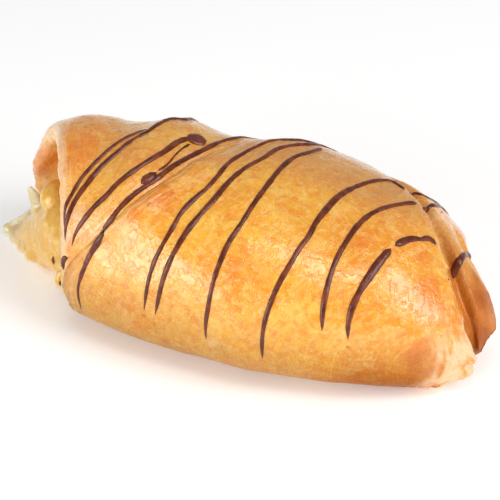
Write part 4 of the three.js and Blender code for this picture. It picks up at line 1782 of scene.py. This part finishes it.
    def runs(self, path: tuple[Pixel, ...]) -> list[list[Vector]]:
        """Where the lines of sight through a path meet the pastry.

        Args:
            path: Pixels of the photograph.

        Returns:
            The points, parted where the line would have to cross the air.
        """
        runs: list[list[Vector]] = [[]]
        for pixel in self.dense(path):
            place = self.tree.ray_cast(*self.studio.sight(pixel))[0]
            if place is None:
                continue
            if runs[-1]:
                middle = (place + runs[-1][-1]) / 2
                if self.tree.find_nearest(middle)[3] > self.widest_gap * MM:
                    runs.append([])
            runs[-1].append(place)
        return [run for run in runs if len(run) >= self.shortest_run]

    @staticmethod
    def length(points: list[Vector]) -> float:
        """Length of a path."""
        return sum((b - a).length for a, b in zip(points, points[1:]))

    def run_on(self, start: Vector, stripe: Stripe) -> list[Vector]:
        """Follows the crust down the hidden back, in the way in which the line was piped.

        Args:
            start: Where the photograph's part of the line ends.
            stripe: The line, which says how far it runs on, and which way.

        Returns:
            The further points.
        """
        length = stripe.over_back * MM
        along = Vector((*stripe.lean, 0)).normalized()
        middle = start - along * (start.y / along.y)
        middle.z = self.hub_height * MM
        arm = start - middle
        angle = math.atan2(arm.z, arm.dot(along))
        points = [start]
        while self.length(points) < length and angle > self.lowest_angle:
            angle -= self.angle_step
            out = along * math.cos(angle) + Vector((0, 0, math.sin(angle)))
            place = self.tree.ray_cast(middle + out * self.start_reach * MM, -out)[0]
            if place is not None and (place - points[-1]).length < self.longest_step * MM:
                points.append(place)
        return points[1:]

    def resample(self, points: list[Vector]) -> list[Vector]:
        """Spreads points evenly along a path, and takes out its kinks."""
        corners = np.array([p[:] for p in points])
        length = np.concatenate([[0], np.cumsum(np.linalg.norm(np.diff(corners, axis=0), axis=1))])
        count = max(self.fewest_steps, int(length[-1] / (self.step * MM)))
        at = np.linspace(0, length[-1], count + 1)
        even = np.stack([np.interp(at, length, corners[:, k]) for k in range(3)], axis=1)
        for _ in range(self.kink_rounds):
            even[1:-1] = (even[:-2] + even[1:-1] * 2 + even[2:]) / 4
        return [Vector(p) for p in even]

    def bead(self, bm: bmesh.types.BMesh, path: list[Vector], stripe: Stripe, shown: float) -> None:
        """Makes one raised line.

        Args:
            bm: A new mesh, which it fills.
            path: Points on the crust, evenly spread.
            stripe: The line's widths and tapers.
            shown: Length of the part that the photograph shows, in metres.
        """
        last = len(path) - 1
        step = self.length(path) / last
        ring: list[bmesh.types.BMEdge] = []
        for k, point in enumerate(path):
            along = (path[min(k + 1, last)] - path[max(k - 1, 0)]).normalized()
            near, normal, _, _ = self.tree.find_nearest(point)
            side = along.cross(normal).normalized()
            part = np.interp(k * step / shown, np.linspace(0, 1, len(stripe.widths)), stripe.widths)
            front = min(k * step / (stripe.front_taper * MM), 1)
            back = min((last - k) * step / (stripe.back_taper * MM), 1)
            end = blend(math.sin(min(front, back) * math.pi / 2), 1, self.thin_end)
            cap = math.sqrt(max(1 - (1 - min(min(k, last - k) / 2, 1)) ** 2, self.blunt_end))
            uneven = 1 + sum(part * noise.noise(point * lumps) for part, lumps in self.uneven)
            half = part * self.width_part * MM / 2 * end * cap * uneven
            rise = min(half * 2 * self.height_part, self.most_height * MM * cap)
            up = side.cross(along).normalized()
            turn = Matrix((side, up, along)).transposed().to_4x4()
            size = Matrix.Diagonal((half, rise, 1, 1))
            place = Matrix.Translation(near.lerp(point, self.sink)) @ turn @ size
            if not ring:
                made = bmesh.ops.create_circle(bm, cap_ends=False, segments=self.bead_sides, radius=1)
                verts = made["verts"]
                ring = list(bm.edges)
                bmesh.ops.contextual_create(bm, geom=ring)
            else:
                made = bmesh.ops.extrude_edge_only(bm, edges=ring)["geom"]
                verts = [g for g in made if isinstance(g, bmesh.types.BMVert)]
                ring = [g for g in made if isinstance(g, bmesh.types.BMEdge)]
                bmesh.ops.transform(bm, matrix=self.last_place.inverted(), verts=verts)
            bmesh.ops.transform(bm, matrix=place, verts=verts)
            self.last_place = place
        bmesh.ops.contextual_create(bm, geom=ring)


# ---------------------------------------------------------------- all together


def main() -> None:
    """Builds the studio and the pastry, piece by piece."""
    logging.basicConfig(level=logging.INFO, format="%(name)s: %(message)s", stream=sys.stdout)
    studio = Studio()
    studio.build()
    form = FoldedForm()
    dough = Dough(form, studio).build()
    filling = Filling(form).build()
    Chocolate(studio, dough, filling).build()


if __name__ == "__main__":
    main()
